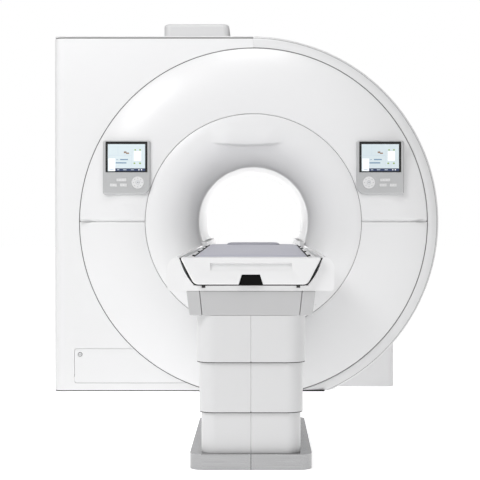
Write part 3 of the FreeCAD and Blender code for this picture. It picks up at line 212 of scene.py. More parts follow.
finish("cover_white", (0.745, 0.745, 0.75, 1), 0.36, Coat_Weight=0.15, Coat_Roughness=0.2)
finish("table_white", (0.79, 0.79, 0.795, 1), 0.3, Coat_Weight=0.3, Coat_Roughness=0.1)
finish("liner_white", (0.74, 0.74, 0.745, 1), 0.42)
finish("housing_silver", (0.50, 0.505, 0.51, 1), 0.32, grain_scale=1500, grain=0.0002, Metallic=0.35)
finish("column_grey", (0.66, 0.66, 0.665, 1), 0.34, Coat_Weight=0.15, Coat_Roughness=0.2)
# A darker grey for the neck: painted shade under the table's overhang.
finish("neck_shaded_grey", (0.50, 0.50, 0.505, 1), 0.36, Coat_Weight=0.15, Coat_Roughness=0.2)
brushed("base_metal", (0.37, 0.37, 0.375, 1), 0.22, Metallic=0.9)
brushed("lock_metal", (0.62, 0.62, 0.63, 1), 0.28, Metallic=1.0)
brushed("tube_steel", (0.5, 0.51, 0.52, 1), 0.3, Metallic=1.0)
brushed("vessel_metal", (0.6, 0.61, 0.62, 1), 0.36, Metallic=1.0)
finish("coil_resin", (0.55, 0.42, 0.22, 1), 0.45, tone=0.1, grain_scale=300, grain=0.0006)
finish("frame_paint", (0.2, 0.21, 0.22, 1), 0.5, grain_scale=700, grain=0.0003)
finish("motor_paint", (0.08, 0.09, 0.1, 1), 0.45, grain_scale=700, grain=0.0003)
finish("handle_black", grey(0.003), 0.6, grain_scale=1200, grain=0.0002, Specular_IOR_Level=0.1)
finish("glide_plastic", grey(0.02), 0.45)
finish("belt_rubber", grey(0.03), 0.7, grain_scale=1200, grain=0.0004)
finish("pad_vinyl", (0.50, 0.50, 0.575, 1), 0.52, tone=0.05, grain_scale=1300, grain=0.0008,
       Sheen_Weight=0.15)
finish("pad_dark", (0.36, 0.36, 0.41, 1), 0.55, tone=0.05, grain_scale=1300, grain=0.0008)
finish("key_white", (0.68, 0.68, 0.685, 1), 0.35)
finish("button_grey", (0.66, 0.67, 0.69, 1), 0.35)
# A darker copy of the cover white for the rim band: painted shade on the round side.
finish("rim_shaded_white", (0.69, 0.69, 0.695, 1), 0.36, Coat_Weight=0.15, Coat_Roughness=0.2)
# Grey for real seams, and for lines of painted shade along rounded edges.
finish("seam_and_shade_grey", grey(0.17), 0.55)
# Near black for real seals, slots and backings, and for strips of painted shadow round parts.
finish("seal_and_shade_dark", grey(0.012), 0.6, Specular_IOR_Level=0.2)
finish("seal_pale", grey(0.36), 0.55)
finish("mark_grey", grey(0.35), 0.5)
finish("display_glass", grey(0.008), 0.08, Coat_Weight=0.5, Coat_Roughness=0.03)
lit("display_back", (0.60, 0.68, 0.71, 1))
lit("display_white", (0.93, 0.95, 0.97, 1))
lit("display_bar", (0.03, 0.045, 0.10, 1))
lit("display_blue", (0.17, 0.27, 0.38, 1))
lit("display_green", (0.25, 0.38, 0.10, 1))
lit("display_brown", (0.25, 0.16, 0.11, 1))
lit("display_line", (0.50, 0.58, 0.66, 1))


def paint_nodes():
    """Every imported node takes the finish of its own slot."""
    for part in frame["record"]["subparts"]:
        mesh = nodes[part["node"]].data
        mesh.materials.clear()
        mesh.materials.append(materials[part["material_slot"]])
        mesh.polygons.foreach_set("use_smooth", [True] * len(mesh.polygons))


paint_nodes()


# ------------------------------------------------------------------ mesh helpers

def rounded(corners, radii, steps=6, closed=True):
    """A polyline with its corners turned into arcs; radii is one radius, or {corner: radius}."""
    points = []
    count = len(corners)
    if not isinstance(radii, dict):
        radii = dict.fromkeys(range(count), radii)
    radii = {number % count: radius for number, radius in radii.items()}
    for number, corner in enumerate(corners):
        radius = radii.get(number, 0)
        here = Vector(corner)
        if radius <= 0 or (not closed and number in (0, count - 1)):
            points.append(here)
            continue
        back = (Vector(corners[number - 1]) - here).normalized()
        ahead = (Vector(corners[(number + 1) % count]) - here).normalized()
        half = back.angle(ahead) / 2
        reach = radius / math.tan(half)
        centre = here + (back + ahead).normalized() * (radius / math.sin(half))
        first, last = here + back * reach - centre, here + ahead * reach - centre
        turn = first.angle_signed(last)
        for step in range(steps + 1):
            angle = -turn * step / steps
            points.append(centre + Vector((first.x * math.cos(angle) - first.y * math.sin(angle),
                                           first.x * math.sin(angle) + first.y * math.cos(angle))))
    return [tuple(point) for point in points]


def box_outline(left, low, right, high):
    return [(left, low), (right, low), (right, high), (left, high)]


def circle(x, y, radius, count):
    return [(x + radius * math.cos(angle), y + radius * math.sin(angle))
            for angle in turns(0, 360, count)[:-1]]


SPREAD = {
    "XZ": lambda u, v, depth: (u, depth, v),
    "XY": lambda u, v, depth: (u, v, depth),
    "YZ": lambda u, v, depth: (depth, u, v),
}


def prism(shape, outline, plane, low, high):
    """Adds an outline, pulled from low to high along the plane's normal, to a bmesh."""
    ends = [[shape.verts.new(SPREAD[plane](u, v, depth)) for u, v in outline] for depth in (low, high)]
    shape.faces.new(ends[0])
    shape.faces.new(ends[1][::-1])
    count = len(outline)
    for number in range(count):
        following = (number + 1) % count
        shape.faces.new((ends[0][following], ends[0][number], ends[1][number], ends[1][following]))
    return shape


def raw(name, shape):
    """An object from a bmesh, with its faces turned outwards."""
    bmesh.ops.recalc_face_normals(shape, faces=shape.faces)
    mesh = bpy.data.meshes.new(name)
    shape.to_mesh(mesh)
    shape.free()
    piece = bpy.data.objects.new(name, mesh)
    scene.collection.objects.link(piece)
    return piece


def settle(piece):
    """Writes a piece's modifiers into its mesh."""
    bpy.context.view_layer.update()
    mesh = bpy.data.meshes.new_from_object(piece.evaluated_get(bpy.context.evaluated_depsgraph_get()))
    piece.modifiers.clear()
    old, piece.data = piece.data, mesh
    bpy.data.meshes.remove(old)
    return piece


def carve(piece, *tools):
    """Takes the tools' shapes out of a piece and removes the tools."""
    for tool in tools:
        step = piece.modifiers.new("carve", "BOOLEAN")
        step.operation, step.solver, step.object = "DIFFERENCE", "EXACT", tool
    settle(piece)
    for tool in tools:
        bpy.data.objects.remove(tool)
    return piece


def soften(piece, width, steps=3, angle=32):
    """Rounds a piece's sharp edges and keeps its flats flat."""
    bevel = piece.modifiers.new("soften", "BEVEL")
    bevel.width, bevel.segments = width, steps
    bevel.limit_method, bevel.angle_limit = "ANGLE", math.radians(angle)
    bevel.use_clamp_overlap = True
    piece.data.polygons.foreach_set("use_smooth", [True] * len(piece.data.polygons))
    return settle(piece)


def own(piece, material, body="root", replaces=(), sharp=35, more=()):
    """Shades, paints and hands a finished piece to its body."""
    mesh = piece.data
    numbers = [face.material_index for face in mesh.polygons]
    mesh.materials.clear()
    for name in (material, *more):
        mesh.materials.append(materials[name])
    if more:
        mesh.polygons.foreach_set("material_index", numbers)
    if "custom_normal" in mesh.attributes:
        mesh.attributes.remove(mesh.attributes["custom_normal"])
    mesh.polygons.foreach_set("use_smooth", [True] * len(mesh.polygons))
    mesh.set_sharp_from_angle(angle=math.radians(sharp))
    piece.modifiers.new("weigh", "WEIGHTED_NORMAL").keep_sharp = True
    settle(piece)
    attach(piece, body)
    if replaces:
        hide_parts(*replaces)
    return piece


def turned(name, profile, angles, shift=None, full=False):
    """Turns a closed (radius, y) section about the bore axis; angles run clockwise from the top."""
    shape = bmesh.new()
    rows = []
    for angle in angles:
        row = []
        for radius, y in profile:
            x, z = radius * math.sin(angle), radius * math.cos(angle)
            if shift:
                y += shift(x, y, z)
            row.append(shape.verts.new((x, y, ISO + z)))
        rows.append(row)
    count = len(profile)
    pairs = list(zip(rows, rows[1:])) + ([(rows[-1], rows[0])] if full else [])
    for one, other in pairs:
        for number in range(count):
            following = (number + 1) % count
            shape.faces.new((one[number], one[following], other[following], other[number]))
    if not full:
        shape.faces.new(rows[0])
        shape.faces.new(rows[-1][::-1])
    return raw(name, shape)


def level_cut(piece, height):
    """Cuts a piece off flat at a height and closes it."""
    shape = bmesh.new()
    shape.from_mesh(piece.data)
    cut = bmesh.ops.bisect_plane(shape, geom=shape.verts[:] + shape.edges[:] + shape.faces[:], dist=1e-6,
                                 plane_co=(0, 0, height), plane_no=(0, 0, 1), clear_inner=True)
    edges = [item for item in cut["geom_cut"] if isinstance(item, bmesh.types.BMEdge)]
    bmesh.ops.edgenet_fill(shape, edges=edges)
    bmesh.ops.recalc_face_normals(shape, faces=shape.faces)
    shape.to_mesh(piece.data)
    shape.free()
    return piece


def spread(low, high, count):
    return [low + (high - low) * number / count for number in range(count + 1)]


def turns(low, high, count):
    return [math.radians(value) for value in spread(low, high, count)]


def smooth_step(value):
    value = min(max(value, 0), 1)
    return value * value * (3 - 2 * value)


# ------------------------------------------------------------------ gantry face

def arc_centre(start, end, bend):
    """Centre of the arc of radius bend from start to end that bulges to the front."""
    start, end = Vector(start), Vector(end)
    chord = start - end
    rise = math.sqrt(bend ** 2 - (chord.length / 2) ** 2)
    return (start + end) / 2 + Vector((-chord.y, chord.x)).normalized() * rise


SEAM_GAP = 0.0006
DOME_BEND = 0.7                          # the face rings' section
DOME_CENTRE = arc_centre((FACE, FRONT), (FUNNEL + SEAM_GAP, DOME), DOME_BEND)
FUNNEL_DEPTH, FUNNEL_WIDTH = 0.225, FUNNEL - BORE
BELL_BEND = (FUNNEL_DEPTH ** 2 + FUNNEL_WIDTH ** 2) / (2 * FUNNEL_WIDTH)  # the funnel's section
BELL_CENTRE = (BORE + BELL_BEND, DOME + FUNNEL_DEPTH)


def dome(radius, sink=0.0):
    return DOME_CENTRE[1] - math.sqrt((DOME_BEND - sink) ** 2 - (radius - DOME_CENTRE[0]) ** 2)


def ring_section():
    """Face ring: domed front, rounded edges and lips turned back."""
    front = [(radius, dome(radius)) for radius in spread(FUNNEL + 0.0016, FACE - 0.0022, 28)]
    outer = [(front[0][0], DOME + 0.03), *front, (front[-1][0], FRONT + 0.03)]
    outer = rounded(outer, {1: 0.005, -2: 0.007}, 5, closed=False)
    back = [(radius, dome(radius, WALL)) for radius in spread(FACE - WALL, FUNNEL + WALL, 10)]
    return [*outer, (FACE - WALL, FRONT + 0.03), *back, (FUNNEL + WALL, DOME + 0.03)]


def face_rings():
    """Two halves that meet at the bore axis; the upper one curls in along its lower edge."""
    def curl(depth, reach):
        def shift(x, y, z):
            return depth * max(0, 1 - abs(z) / reach) ** 2
        return shift
    section = ring_section()
    near = [89.98, 89.8, 89.5, 89.2, 88.8, 88.4, 87.9, 87.3, 86.5]
    angles = near + spread(85, -85, 110) + [-value for value in reversed(near)]
    upper = turned("ring_upper", section, [math.radians(value) for value in angles], curl(0.012, 0.03))
    own(upper, "cover_white", replaces=("face_ring_upper",), sharp=50)
    angles = [180 - value for value in angles]
    lower = turned("ring_lower", section, [math.radians(value) for value in angles], curl(0.003, 0.005))
    own(level_cut(lower, FLOOR_LINE), "cover_white", replaces=("face_ring_lower",), sharp=50)
    backing = box_outline(FUNNEL + 0.01, -0.002, FACE - 0.01, 0.002)
    for side, name in ((1, "right"), (-1, "left")):
        shape = bmesh.new()
        strip = [(side * u, ISO + v) for u, v in backing]
        prism(shape, strip, "XZ", FRONT - 0.026, FRONT - 0.018)
        own(raw(f"ring_seam_{name}", shape), "seal_pale")


def hood(x, y, z):
    """How far the hood over the bore stands out of the funnel's bell."""
    across = (x + 0.035) / 0.225
    if z < 0.3 or abs(across) >= 1:
        return 0
    window = smooth_step((1 - abs(across)) / 0.55)
    ledge = 0.455 + 0.018 * across ** 2
    rise = smooth_step((ledge + 0.115 - z) / 0.115)
    drop = smooth_step((z - ledge + 0.012) / 0.012)
    return -0.026 * window * rise * drop


def entry_funnel():
    """Bell from the face rings into the bore, with the hood above the bore."""
    start = math.asin((FUNNEL - 0.001 - BELL_CENTRE[0]) / BELL_BEND)
    fine = spread(-0.02, -0.52, 40)
    swing = spread(start, -0.02, 10)[:-1] + fine + spread(-0.52, -math.pi / 2, 24)[1:]
    front = [(BELL_CENTRE[0] + BELL_BEND * math.sin(angle), BELL_CENTRE[1] - BELL_BEND * math.cos(angle))
             for angle in swing]
    front = rounded([(front[0][0], DOME + 0.03), *front], {1: 0.004}, 5, closed=False)
    inner = BELL_BEND - WALL
    back = [(BELL_CENTRE[0] + inner * math.sin(angle), BELL_CENTRE[1] - inner * math.cos(angle))
            for angle in spread(-math.pi / 2, start - 0.05, 12)]
    section = [*front, *back, (FUNNEL - WALL, DOME + 0.03)]
    for side, name in ((1, "right"), (-1, "left")):
        shape = bmesh.new()
        strip = [(side * 0.360, -0.9127), (side * 0.405, -0.9058), (side * 0.405, -0.901),
                 (side * 0.360, -0.908)]
        prism(shape, strip, "XY", 0.5138, 0.5162)
        own(raw(f"funnel_joint_{name}", shape), "seal_pale")
    angles = spread(-36, 36, 150)[:-1] + spread(36, 324, 170)[:-1]
    piece = turned("funnel", section, [math.radians(value) for value in angles], hood, full=True)
    own(piece, "cover_white", replaces=("entry_funnel",), sharp=60)


def rim():
    """Rim band, its two seals, a grey line of painted shade near its outer edge, and the round side behind
    it.
    """
    arc = [(FACE + 0.0022, FRONT + 0.003)]
    chord = Vector((RIM - FACE - 0.0022, 0.027))
    for part in spread(0.08, 0.92, 12):
        bulge = 0.006 * math.sin(math.pi * part)
        arc.append((arc[0][0] + chord.x * part, FRONT + 0.003 + chord.y * part - bulge))
    arc.append((RIM - 0.0012, FRONT + 0.031))
    outer = rounded([(arc[0][0], FRONT + 0.04), *arc, (RIM - 0.0012, FRONT + 0.0885)],
                    {1: 0.005, -2: 0.012}, 5, closed=False)
    section = [*outer, (RIM - 0.009, FRONT + 0.0885), (RIM - 0.009, FRONT + 0.045),
               (FACE + 0.012, FRONT + 0.04)]
    def level_with_panel(x, y, z):
        if x < 0 or z < 0:
            return 0
        outward = (math.hypot(x, z) - FACE) / (RIM - FACE)
        front = 1 - smooth_step((y - FRONT - 0.03) / 0.05)
        return -(0.003 + 0.024 * outward) * smooth_step((0.3 - x) / 0.3) * front
    band = turned("rim_cover", section, turns(0, 170, 170), level_with_panel)
    own(level_cut(band, FLOOR_LINE), "rim_shaded_white", replaces=("rim_band",), sharp=50)

    # Grey line near the band's outer edge: painted shade and reflection of the rounded outer edge.
    line = rounded(box_outline(1.0825, FRONT + 0.0215, 1.0862, FRONT + 0.028), 0.0006, 2)
    line = turned("rim_edge_shade", line, turns(0, 170, 170), level_with_panel)
    own(level_cut(line, FLOOR_LINE), "seam_and_shade_grey")

    seal = rounded(box_outline(FACE - 0.006, FRONT + 0.005, FACE + 0.0035, FRONT + 0.02), 0.001, 2)
    piece = turned("face_seal", seal, turns(0, 360, 240)[:-1], full=True)
    own(level_cut(piece, FLOOR_LINE), "seam_and_shade_grey")
    seal = rounded(box_outline(FUNNEL - 0.002, DOME + 0.006, FUNNEL + 0.003, DOME + 0.02), 0.001, 2)
    own(turned("funnel_seal", seal, turns(0, 360, 200)[:-1], full=True), "seal_pale")

    outer = [(RIM - WALL, FRONT + 0.0915), (RIM, FRONT + 0.0915)]
    for y in (-0.25, 0.35):
        outer += [(RIM, y - 0.002), (RIM - 0.003, y - 0.0015), (RIM - 0.003, y + 0.0015), (RIM, y + 0.002)]
    outer = rounded([*outer, (RIM, REAR), (RIM - 0.045, REAR)], {1: 0.004, -2: 0.045}, 8, closed=False)
    section = [*outer, (RIM - 0.045, REAR - WALL), (RIM - WALL, REAR - 0.045)]
    side = turned("round_side", section, turns(0, 160, 150))
    own(level_cut(side, 0.0306), "cover_white", replaces=("right_side_cover",), sharp=50)


def left_cover():
    """Front, rounded edges and flat side as one moulding round the hatch and the rings."""
    right, back = -0.0002, FRONT + WALL
    outer = rounded([(right, FRONT), (SIDE, FRONT), (SIDE, REAR), (-1.118, REAR)], {1: 0.05, 2: 0.05}, 14,
                    closed=False)
    inner = rounded([(-1.118, REAR - WALL), (SIDE + WALL, REAR - WALL), (SIDE + WALL, back), (right, back)],
                    {1: 0.042, 2: 0.042}, 14, closed=False)
    shell = raw("left_cover", prism(bmesh.new(), [*outer, *inner], "XY", FLOOR_LINE, DECK - 0.0145))
    ring = [((FACE + 0.0022) * math.sin(angle), ISO + (FACE + 0.0022) * math.cos(angle))
            for angle in turns(0, 360, 300)[:-1]]
    tools = [raw("ring_tool", prism(bmesh.new(), ring, "XZ", -1.2, 0.0)),
             raw("hatch_tool", prism(bmesh.new(), rounded(box_outline(-1.0572, 0.0488, -0.2, 0.2522),
                                                          {0: 0.014, 3: 0.014}, 6), "XZ", -1.2, 0.0))]
    for number, y in enumerate((-0.42, 0.32)):
        tools.append(raw(f"side_seam_tool_{number}",
                         prism(bmesh.new(), box_outline(y - 0.0015, -0.1, y + 0.0015, 2.3), "YZ",
                               SIDE - 0.01, SIDE + 0.004)))
    for number in range(9):
        z = 1.72 + 0.026 * number
        slot = rounded(box_outline(-0.2, z, 0.1, z + 0.011), 0.005, 4)
        tools.append(raw(f"vent_tool_{number}", prism(bmesh.new(), slot, "YZ", SIDE - 0.01, SIDE + 0.02)))
    carve(shell, *tools)
    own(soften(shell, 0.002, 2), "cover_white", replaces=("left_front_panel", "left_side_cover"))
    mesh = prism(bmesh.new(), box_outline(-0.22, 1.70, 0.12, 1.96), "YZ", SIDE + 0.012, SIDE + 0.015)
    own(raw("vent_backing", mesh), "seal_and_shade_dark")


LOCK = (-1.023, 0.218)                   # the hatch lock's centre, X and Z


def hatch():
    """Hatch plate with its quarter-turn lock."""
    reach = FACE + 0.0022
    edge = [(-math.sqrt(reach ** 2 - (z - ISO) ** 2), z) for z in spread(0.0505, 0.2505, 8)]
    outline = rounded([(-1.0555, 0.0505), *edge, (-1.0555, 0.2505)], {0: 0.013, -1: 0.013}, 6)
    plate = raw("hatch_plate", prism(bmesh.new(), outline, "XZ", FRONT, FRONT + WALL))
    carve(plate, raw("lock_tool", prism(bmesh.new(), circle(*LOCK, 0.0135, 32), "XZ", -1.0, 0.0)))
    own(soften(plate, 0.0018, 2), "cover_white", replaces=("service_hatch",))
    shape = bmesh.new()
    prism(shape, circle(*LOCK, 0.0132, 32), "XZ", FRONT + 0.0065, FRONT + 0.0085)
    own(raw("lock_seat", shape), "seal_and_shade_dark")


def deck():
    """Top deck with a grey strip of painted shade and reflection along its front edge."""
    outline = rounded(box_outline(SIDE, FRONT + 0.004, -0.0006, REAR), {0: 0.045, 3: 0.045}, 10)
    plate = raw("deck_plate", prism(bmesh.new(), outline, "XY", DECK - 0.0085, DECK))
    own(soften(plate, 0.004, 3), "cover_white", replaces=("top_deck",))
    # Grey strip under the front edge: painted shade and reflection of the deck's rounded edge.
    shape = bmesh.new()
    outline = rounded(box_outline(SIDE + 0.004, FRONT + 0.002, -0.0006, REAR - 0.004),
                      {0: 0.045, 3: 0.045}, 10)
    prism(shape, outline, "XY", DECK - 0.0155, DECK - 0.0078)
    own(raw("deck_edge_shade", shape), "seam_and_shade_grey")


def rear_seams():
    """Seams, air slots and screws of the rear cover."""
    ring = rounded(box_outline(0.556, REAR - 0.002, 0.5605, REAR + 0.0004), 0.0004, 2)
    own(turned("rear_ring_seam", ring, turns(0, 360, 200)[:-1], full=True), "seam_and_shade_grey")
    shape = bmesh.new()
    ends = (REAR - 0.002, REAR + 0.0004)
    for x, low, high in ((-0.002, 1.559, 2.05), (-0.002, 0.05, 0.441)):
        prism(shape, box_outline(x, low, x + 0.004, high), "XZ", *ends)
    for left, right in ((-1.12, -0.559), (0.559, 1.0)):
        prism(shape, box_outline(left, ISO - 0.002, right, ISO + 0.002), "XZ", *ends)
    own(raw("rear_seams", shape), "seam_and_shade_grey")
    shape = bmesh.new()
    for row in range(10):
        for left in (-1.0, -0.78):
            slot = rounded(box_outline(left, 0.22 + 0.028 * row, left + 0.19, 0.233 + 0.028 * row), 0.006, 4)
            prism(shape, slot, "XZ", *ends)
    own(raw("rear_air_slots", shape), "seal_and_shade_dark")
    screws = [(-1.09, 1.95), (-1.09, 1.1), (-1.09, 0.9), (-1.09, 0.08), (-0.1, 1.95), (0.1, 1.95),
              (-0.1, 0.08), (0.1, 0.08), (0.9, 1.1), (0.9, 0.9), (-0.62, 1.1), (0.62, 1.1), (-0.62, 0.9),
              (0.62, 0.9)]
    shape = bmesh.new()
    for x, z in screws:
        prism(shape, circle(x, z, 0.009, 24), "XZ", *ends)
    own(raw("rear_screws", shape), "lock_metal")


def floor_shadow_strip():
    """Dark strip of painted shadow between the covers and the floor."""
    # The dark strip is painted shadow: the contact shade along the covers' lower edge.
    shape = bmesh.new()
    prism(shape, rounded(box_outline(SIDE + 0.004, FRONT + 0.003, 0.42, FRONT + 0.03), {0: 0.045}, 8),
          "XY", 0.0, FLOOR_LINE + 0.002)
    prism(shape, box_outline(SIDE + 0.004, FRONT + 0.05, SIDE + 0.02, REAR - 0.05), "XY", 0.0,
          FLOOR_LINE + 0.002)
    prism(shape, box_outline(-1.1, REAR - 0.03, 0.4, REAR - 0.004), "XY", 0.0, FLOOR_LINE + 0.002)
    own(raw("floor_shadow_strip", shape), "seal_and_shade_dark")


face_rings()
entry_funnel()
rim()
left_cover()
hatch()
deck()
rear_seams()
floor_shadow_strip()


# ------------------------------------------------------------------ control panels

def tile(shape, outline, y, slot, thick=0.0004):
    """A thin lit area of the display, with its material's number."""
    before = len(shape.faces)
    prism(shape, outline, "XZ", y - thick, y)
    shape.faces.ensure_lookup_table()
    for face in shape.faces[before:]:
        face.material_index = slot


DISPLAY = ["display_back", "display_white", "display_bar", "display_blue", "display_green", "display_brown",
           "display_line"]
BACK, WHITE, BAR, BLUE, GREEN, BROWN, LINE = range(7)
AREAS = [  # left, low, right, high as shares of the lit area; material; layer
    (0.0, 0.0, 1.0, 1.0, BACK, 0), (0.02, 0.01, 0.2, 0.47, WHITE, 1), (0.2, 0.0, 1.0, 0.105, BAR, 1),
    (0.02, 0.585, 0.64, 0.595, LINE, 1), (0.27, 0.6, 0.276, 1.0, LINE, 1), (0.63, 0.2, 0.636, 0.59, LINE, 1),
    (0.33, 0.41, 0.54, 0.452, BLUE, 1), (0.23, 0.42, 0.275, 0.436, BLUE, 1),
    (0.21, 0.285, 0.5, 0.33, BLUE, 1),
    (0.7, 0.39, 0.895, 0.74, WHITE, 1), (0.715, 0.765, 0.757, 0.815, GREEN, 1),
    (0.845, 0.765, 0.887, 0.815, GREEN, 1), (0.69, 0.265, 0.738, 0.32, GREEN, 1),
    (0.84, 0.265, 0.888, 0.32, GREEN, 1), (0.43, 0.67, 0.5, 0.73, BROWN, 1),
    (0.49, 0.64, 0.57, 0.69, BROWN, 1),
    (0.05, 0.42, 0.17, 0.43, LINE, 2), (0.05, 0.34, 0.15, 0.35, LINE, 2), (0.05, 0.06, 0.16, 0.075, BLUE, 2),
    (0.25, 0.04, 0.31, 0.065, LINE, 2), (0.41, 0.04, 0.5, 0.065, LINE, 2), (0.62, 0.04, 0.7, 0.065, LINE, 2),
    (0.82, 0.035, 0.85, 0.07, WHITE, 2), (0.89, 0.035, 0.92, 0.07, WHITE, 2),
]


def control_panel(side, toward_bore):
    """Housing with soft edges, a lit display, keys with marks and the round pad."""
    centre = -toward_bore * 0.742
    low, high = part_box(f"panel_housing_{side}")
    front = low.y
    radii = {0: 0.012, 1: 0.012, 2: 0.012, 3: 0.012, (1 if toward_bore > 0 else 0): 0.05}
    body = rounded(box_outline(low.x, low.z, high.x, high.z), radii, 10)
    housing = raw(f"housing_{side}", prism(bmesh.new(), body, "XZ", front, high.y))
    tools = []
    glass_low, glass_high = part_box(f"panel_screen_{side}")
    gap = 0.0006
    for name in ("panel_screen", "wide_key", "inner_key", "outer_key"):
        a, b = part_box(f"{name}_{side}")
        tools.append(raw(f"{name}_tool", prism(bmesh.new(), box_outline(a.x - gap, a.z - gap, b.x + gap,
                                                                       b.z + gap), "XZ", -1.0, b.y + 0.002)))
    a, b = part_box(f"jog_pad_{side}")
    pad_x, pad_z, pad_r = (a.x + b.x) / 2, (a.z + b.z) / 2, (b.x - a.x) / 2
    hole = circle(pad_x, pad_z, pad_r + gap, 64)
    tools.append(raw("pad_tool", prism(bmesh.new(), hole, "XZ", -1.0, b.y + 0.002)))
    soften(housing, 0.009, 5)
    carve(housing, *tools)
    own(housing, "housing_silver", replaces=(f"panel_housing_{side}",), sharp=30)

    # A dark rim just outside the housing's outline is painted shadow round the housing.
    grow = 0.0014
    seat = rounded(box_outline(low.x - grow, low.z - grow, high.x + grow, high.z + grow), radii, 10)
    shape = prism(bmesh.new(), seat, "XZ", high.y - 0.028, high.y - 0.002)
    own(raw(f"housing_shadow_rim_{side}", shape), "seal_and_shade_dark")
    left, right = glass_low.x + 0.013, glass_high.x - 0.013
    bottom, top = glass_low.z + 0.006, glass_high.z - 0.015
    shape = bmesh.new()
    for u0, v0, u1, v1, slot, layer in AREAS:
        outline = box_outline(left + (right - left) * u0, bottom + (top - bottom) * v0,
                              left + (right - left) * u1, bottom + (top - bottom) * v1)
        tile(shape, outline, glass_low.y - 0.0001 - 0.0002 * layer, slot, 0.0003)
    own(raw(f"display_{side}", shape), DISPLAY[0], more=DISPLAY[1:])

    shape = bmesh.new()
    for step in range(8):
        angle = math.radians(45 * step)
        mark = [(pad_x + reach * math.cos(angle + turn), pad_z + reach * math.sin(angle + turn))
                for turn, reach in ((0.0, 0.0288), (0.13, 0.0235), (-0.13, 0.0235))]
        prism(shape, mark, "XZ", a.y - 0.0003, a.y + 0.0002)
    own(raw(f"pad_marks_{side}", shape), "mark_grey", body=f"jog_pad_{side}")
    a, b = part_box(f"start_button_{side}")
    shape = bmesh.new()
    prism(shape, circle(pad_x, pad_z, 0.004, 32), "XZ", a.y - 0.0003, a.y + 0.0002)
    own(raw(f"button_mark_{side}", shape), "mark_grey", body=f"start_button_{side}")
    for key, marks in (("wide_key", (-0.018, 0.0, 0.018)), ("inner_key", (-0.008, 0.008)),
                       ("outer_key", (-0.008, 0.008))):
        a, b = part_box(f"{key}_{side}")
        middle, height = (a.x + b.x) / 2, (a.z + b.z) / 2
        shape = bmesh.new()
        for offset in marks:
            prism(shape, box_outline(middle + offset - 0.005, height - 0.0008, middle + offset + 0.005,
                                     height + 0.0008), "XZ", a.y - 0.0003, a.y + 0.0002)
        own(raw(f"{key}_mark_{side}", shape), "mark_grey", body=f"{key}_{side}")


control_panel("left", 1)
control_panel("right", -1)


# ------------------------------------------------------------------ table

def tube_section(half_x, y_low, y_high, radius, seam, depth=0.0025):
    """A rounded rectangle with a fine groove down the middle of its front and rear."""
    corners = box_outline(-half_x, y_low, half_x, y_high)
    arcs = rounded(corners, radius, 12)
    quarter = len(arcs) // 4
    front = [(-seam, y_low), (-seam * 0.5, y_low + depth), (seam * 0.5, y_low + depth), (seam, y_low)]
    rear = [(-u, y_high + y_low - v) for u, v in front]
    return [*arcs[:quarter], *front, *arcs[quarter:3 * quarter], *rear, *arcs[3 * quarter:]]


def column():
    """Three telescoping covers with a centre seam and rolled lower edges, and a dark ring of painted shadow
    under each upper stage.
    """
    for stage, body in (("lower", "root"), ("middle", "lift_middle"), ("upper", "table_top")):
        node = f"column_cover_{stage}"
        low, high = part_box(node)
        radius = {"lower": 0.06, "middle": 0.0695, "upper": 0.079}[stage]
        wall = 0.0085
        outer = tube_section(high.x, low.y, high.y, radius, 0.0016)
        inner = rounded(box_outline(-high.x + wall, low.y + wall, high.x - wall, high.y - wall),
                        radius - wall, 12)
        tube = raw(f"column_{stage}", prism(bmesh.new(), outer, "XY", low.z, high.z))
        carve(tube, raw("column_tool", prism(bmesh.new(), inner, "XY", low.z - 0.1, high.z + 0.1)))
        own(soften(tube, 0.0022, 2, 40), "column_grey", body=body, replaces=(node,))
        if stage == "lower":
            continue
        # Dark ring inside each upper stage's lower edge: painted shadow under its overhang.
        outer = rounded(box_outline(-high.x + 0.001, low.y + 0.001, high.x - 0.001, high.y - 0.001),
                        radius - 0.001, 12)
        inner = rounded(box_outline(-high.x + 0.009, low.y + 0.009, high.x - 0.009, high.y - 0.009),
                        radius - 0.009, 12)
        overhang_shadow = raw(f"wiper_{stage}", prism(bmesh.new(), outer, "XY", low.z - 0.003, low.z + 0.004))
        carve(overhang_shadow, raw("overhang_shadow_tool", prism(bmesh.new(), inner, "XY", low.z - 0.1, low.z + 0.1)))
        own(overhang_shadow, "seal_and_shade_dark", body=body)


def base():
    """Base plate with a rolled bevel and a centre seam."""
    low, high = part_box("table_base")
    outline = tube_section(high.x, low.y, high.y, 0.06, 0.0016)
    plate = raw("base_plate", prism(bmesh.new(), outline, "XY", low.z, high.z))
    own(soften(plate, 0.011, 4, 50), "base_metal", replaces=("table_base",))


def neck():
    """Tapered neck in three panels with softened edges."""
    low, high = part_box("neck_cover")
    foot, top = 0.25, 0.263
    shape = bmesh.new()
    for number, (left, right) in enumerate(((-1, -0.795), (-0.795, 0.795), (0.795, 1))):
        gap = 0.0009
        ends = []
        for z, half in ((low.z, foot), (high.z, top)):
            a, b = left * half, right * half
            if number == 1:
                a, b = a + gap, b - gap
            elif number == 0:
                b -= gap
            else:
                a += gap
            ends.append(((a, z), (b, z)))
        outline = [ends[0][0], ends[0][1], ends[1][1], ends[1][0]]
        prism(shape, outline, "XZ", low.y, high.y)
    piece = raw("neck", shape)
    hollow = [(-0.235, low.z + 0.006), (0.235, low.z + 0.006), (0.247, high.z + 0.01),
              (-0.247, high.z + 0.01)]
    hole = box_outline(-0.064, -3.034, 0.064, -2.906)
    carve(piece, raw("neck_tool", prism(bmesh.new(), hollow, "XZ", low.y + 0.006, high.y - 0.006)),
          raw("neck_hole_tool", prism(bmesh.new(), hole, "XY", low.z - 0.1, low.z + 0.1)))
    # The neck's darker grey is painted shade under the overhang.
    own(soften(piece, 0.003, 3), "neck_shaded_grey", body="table_top", replaces=("neck_cover",))


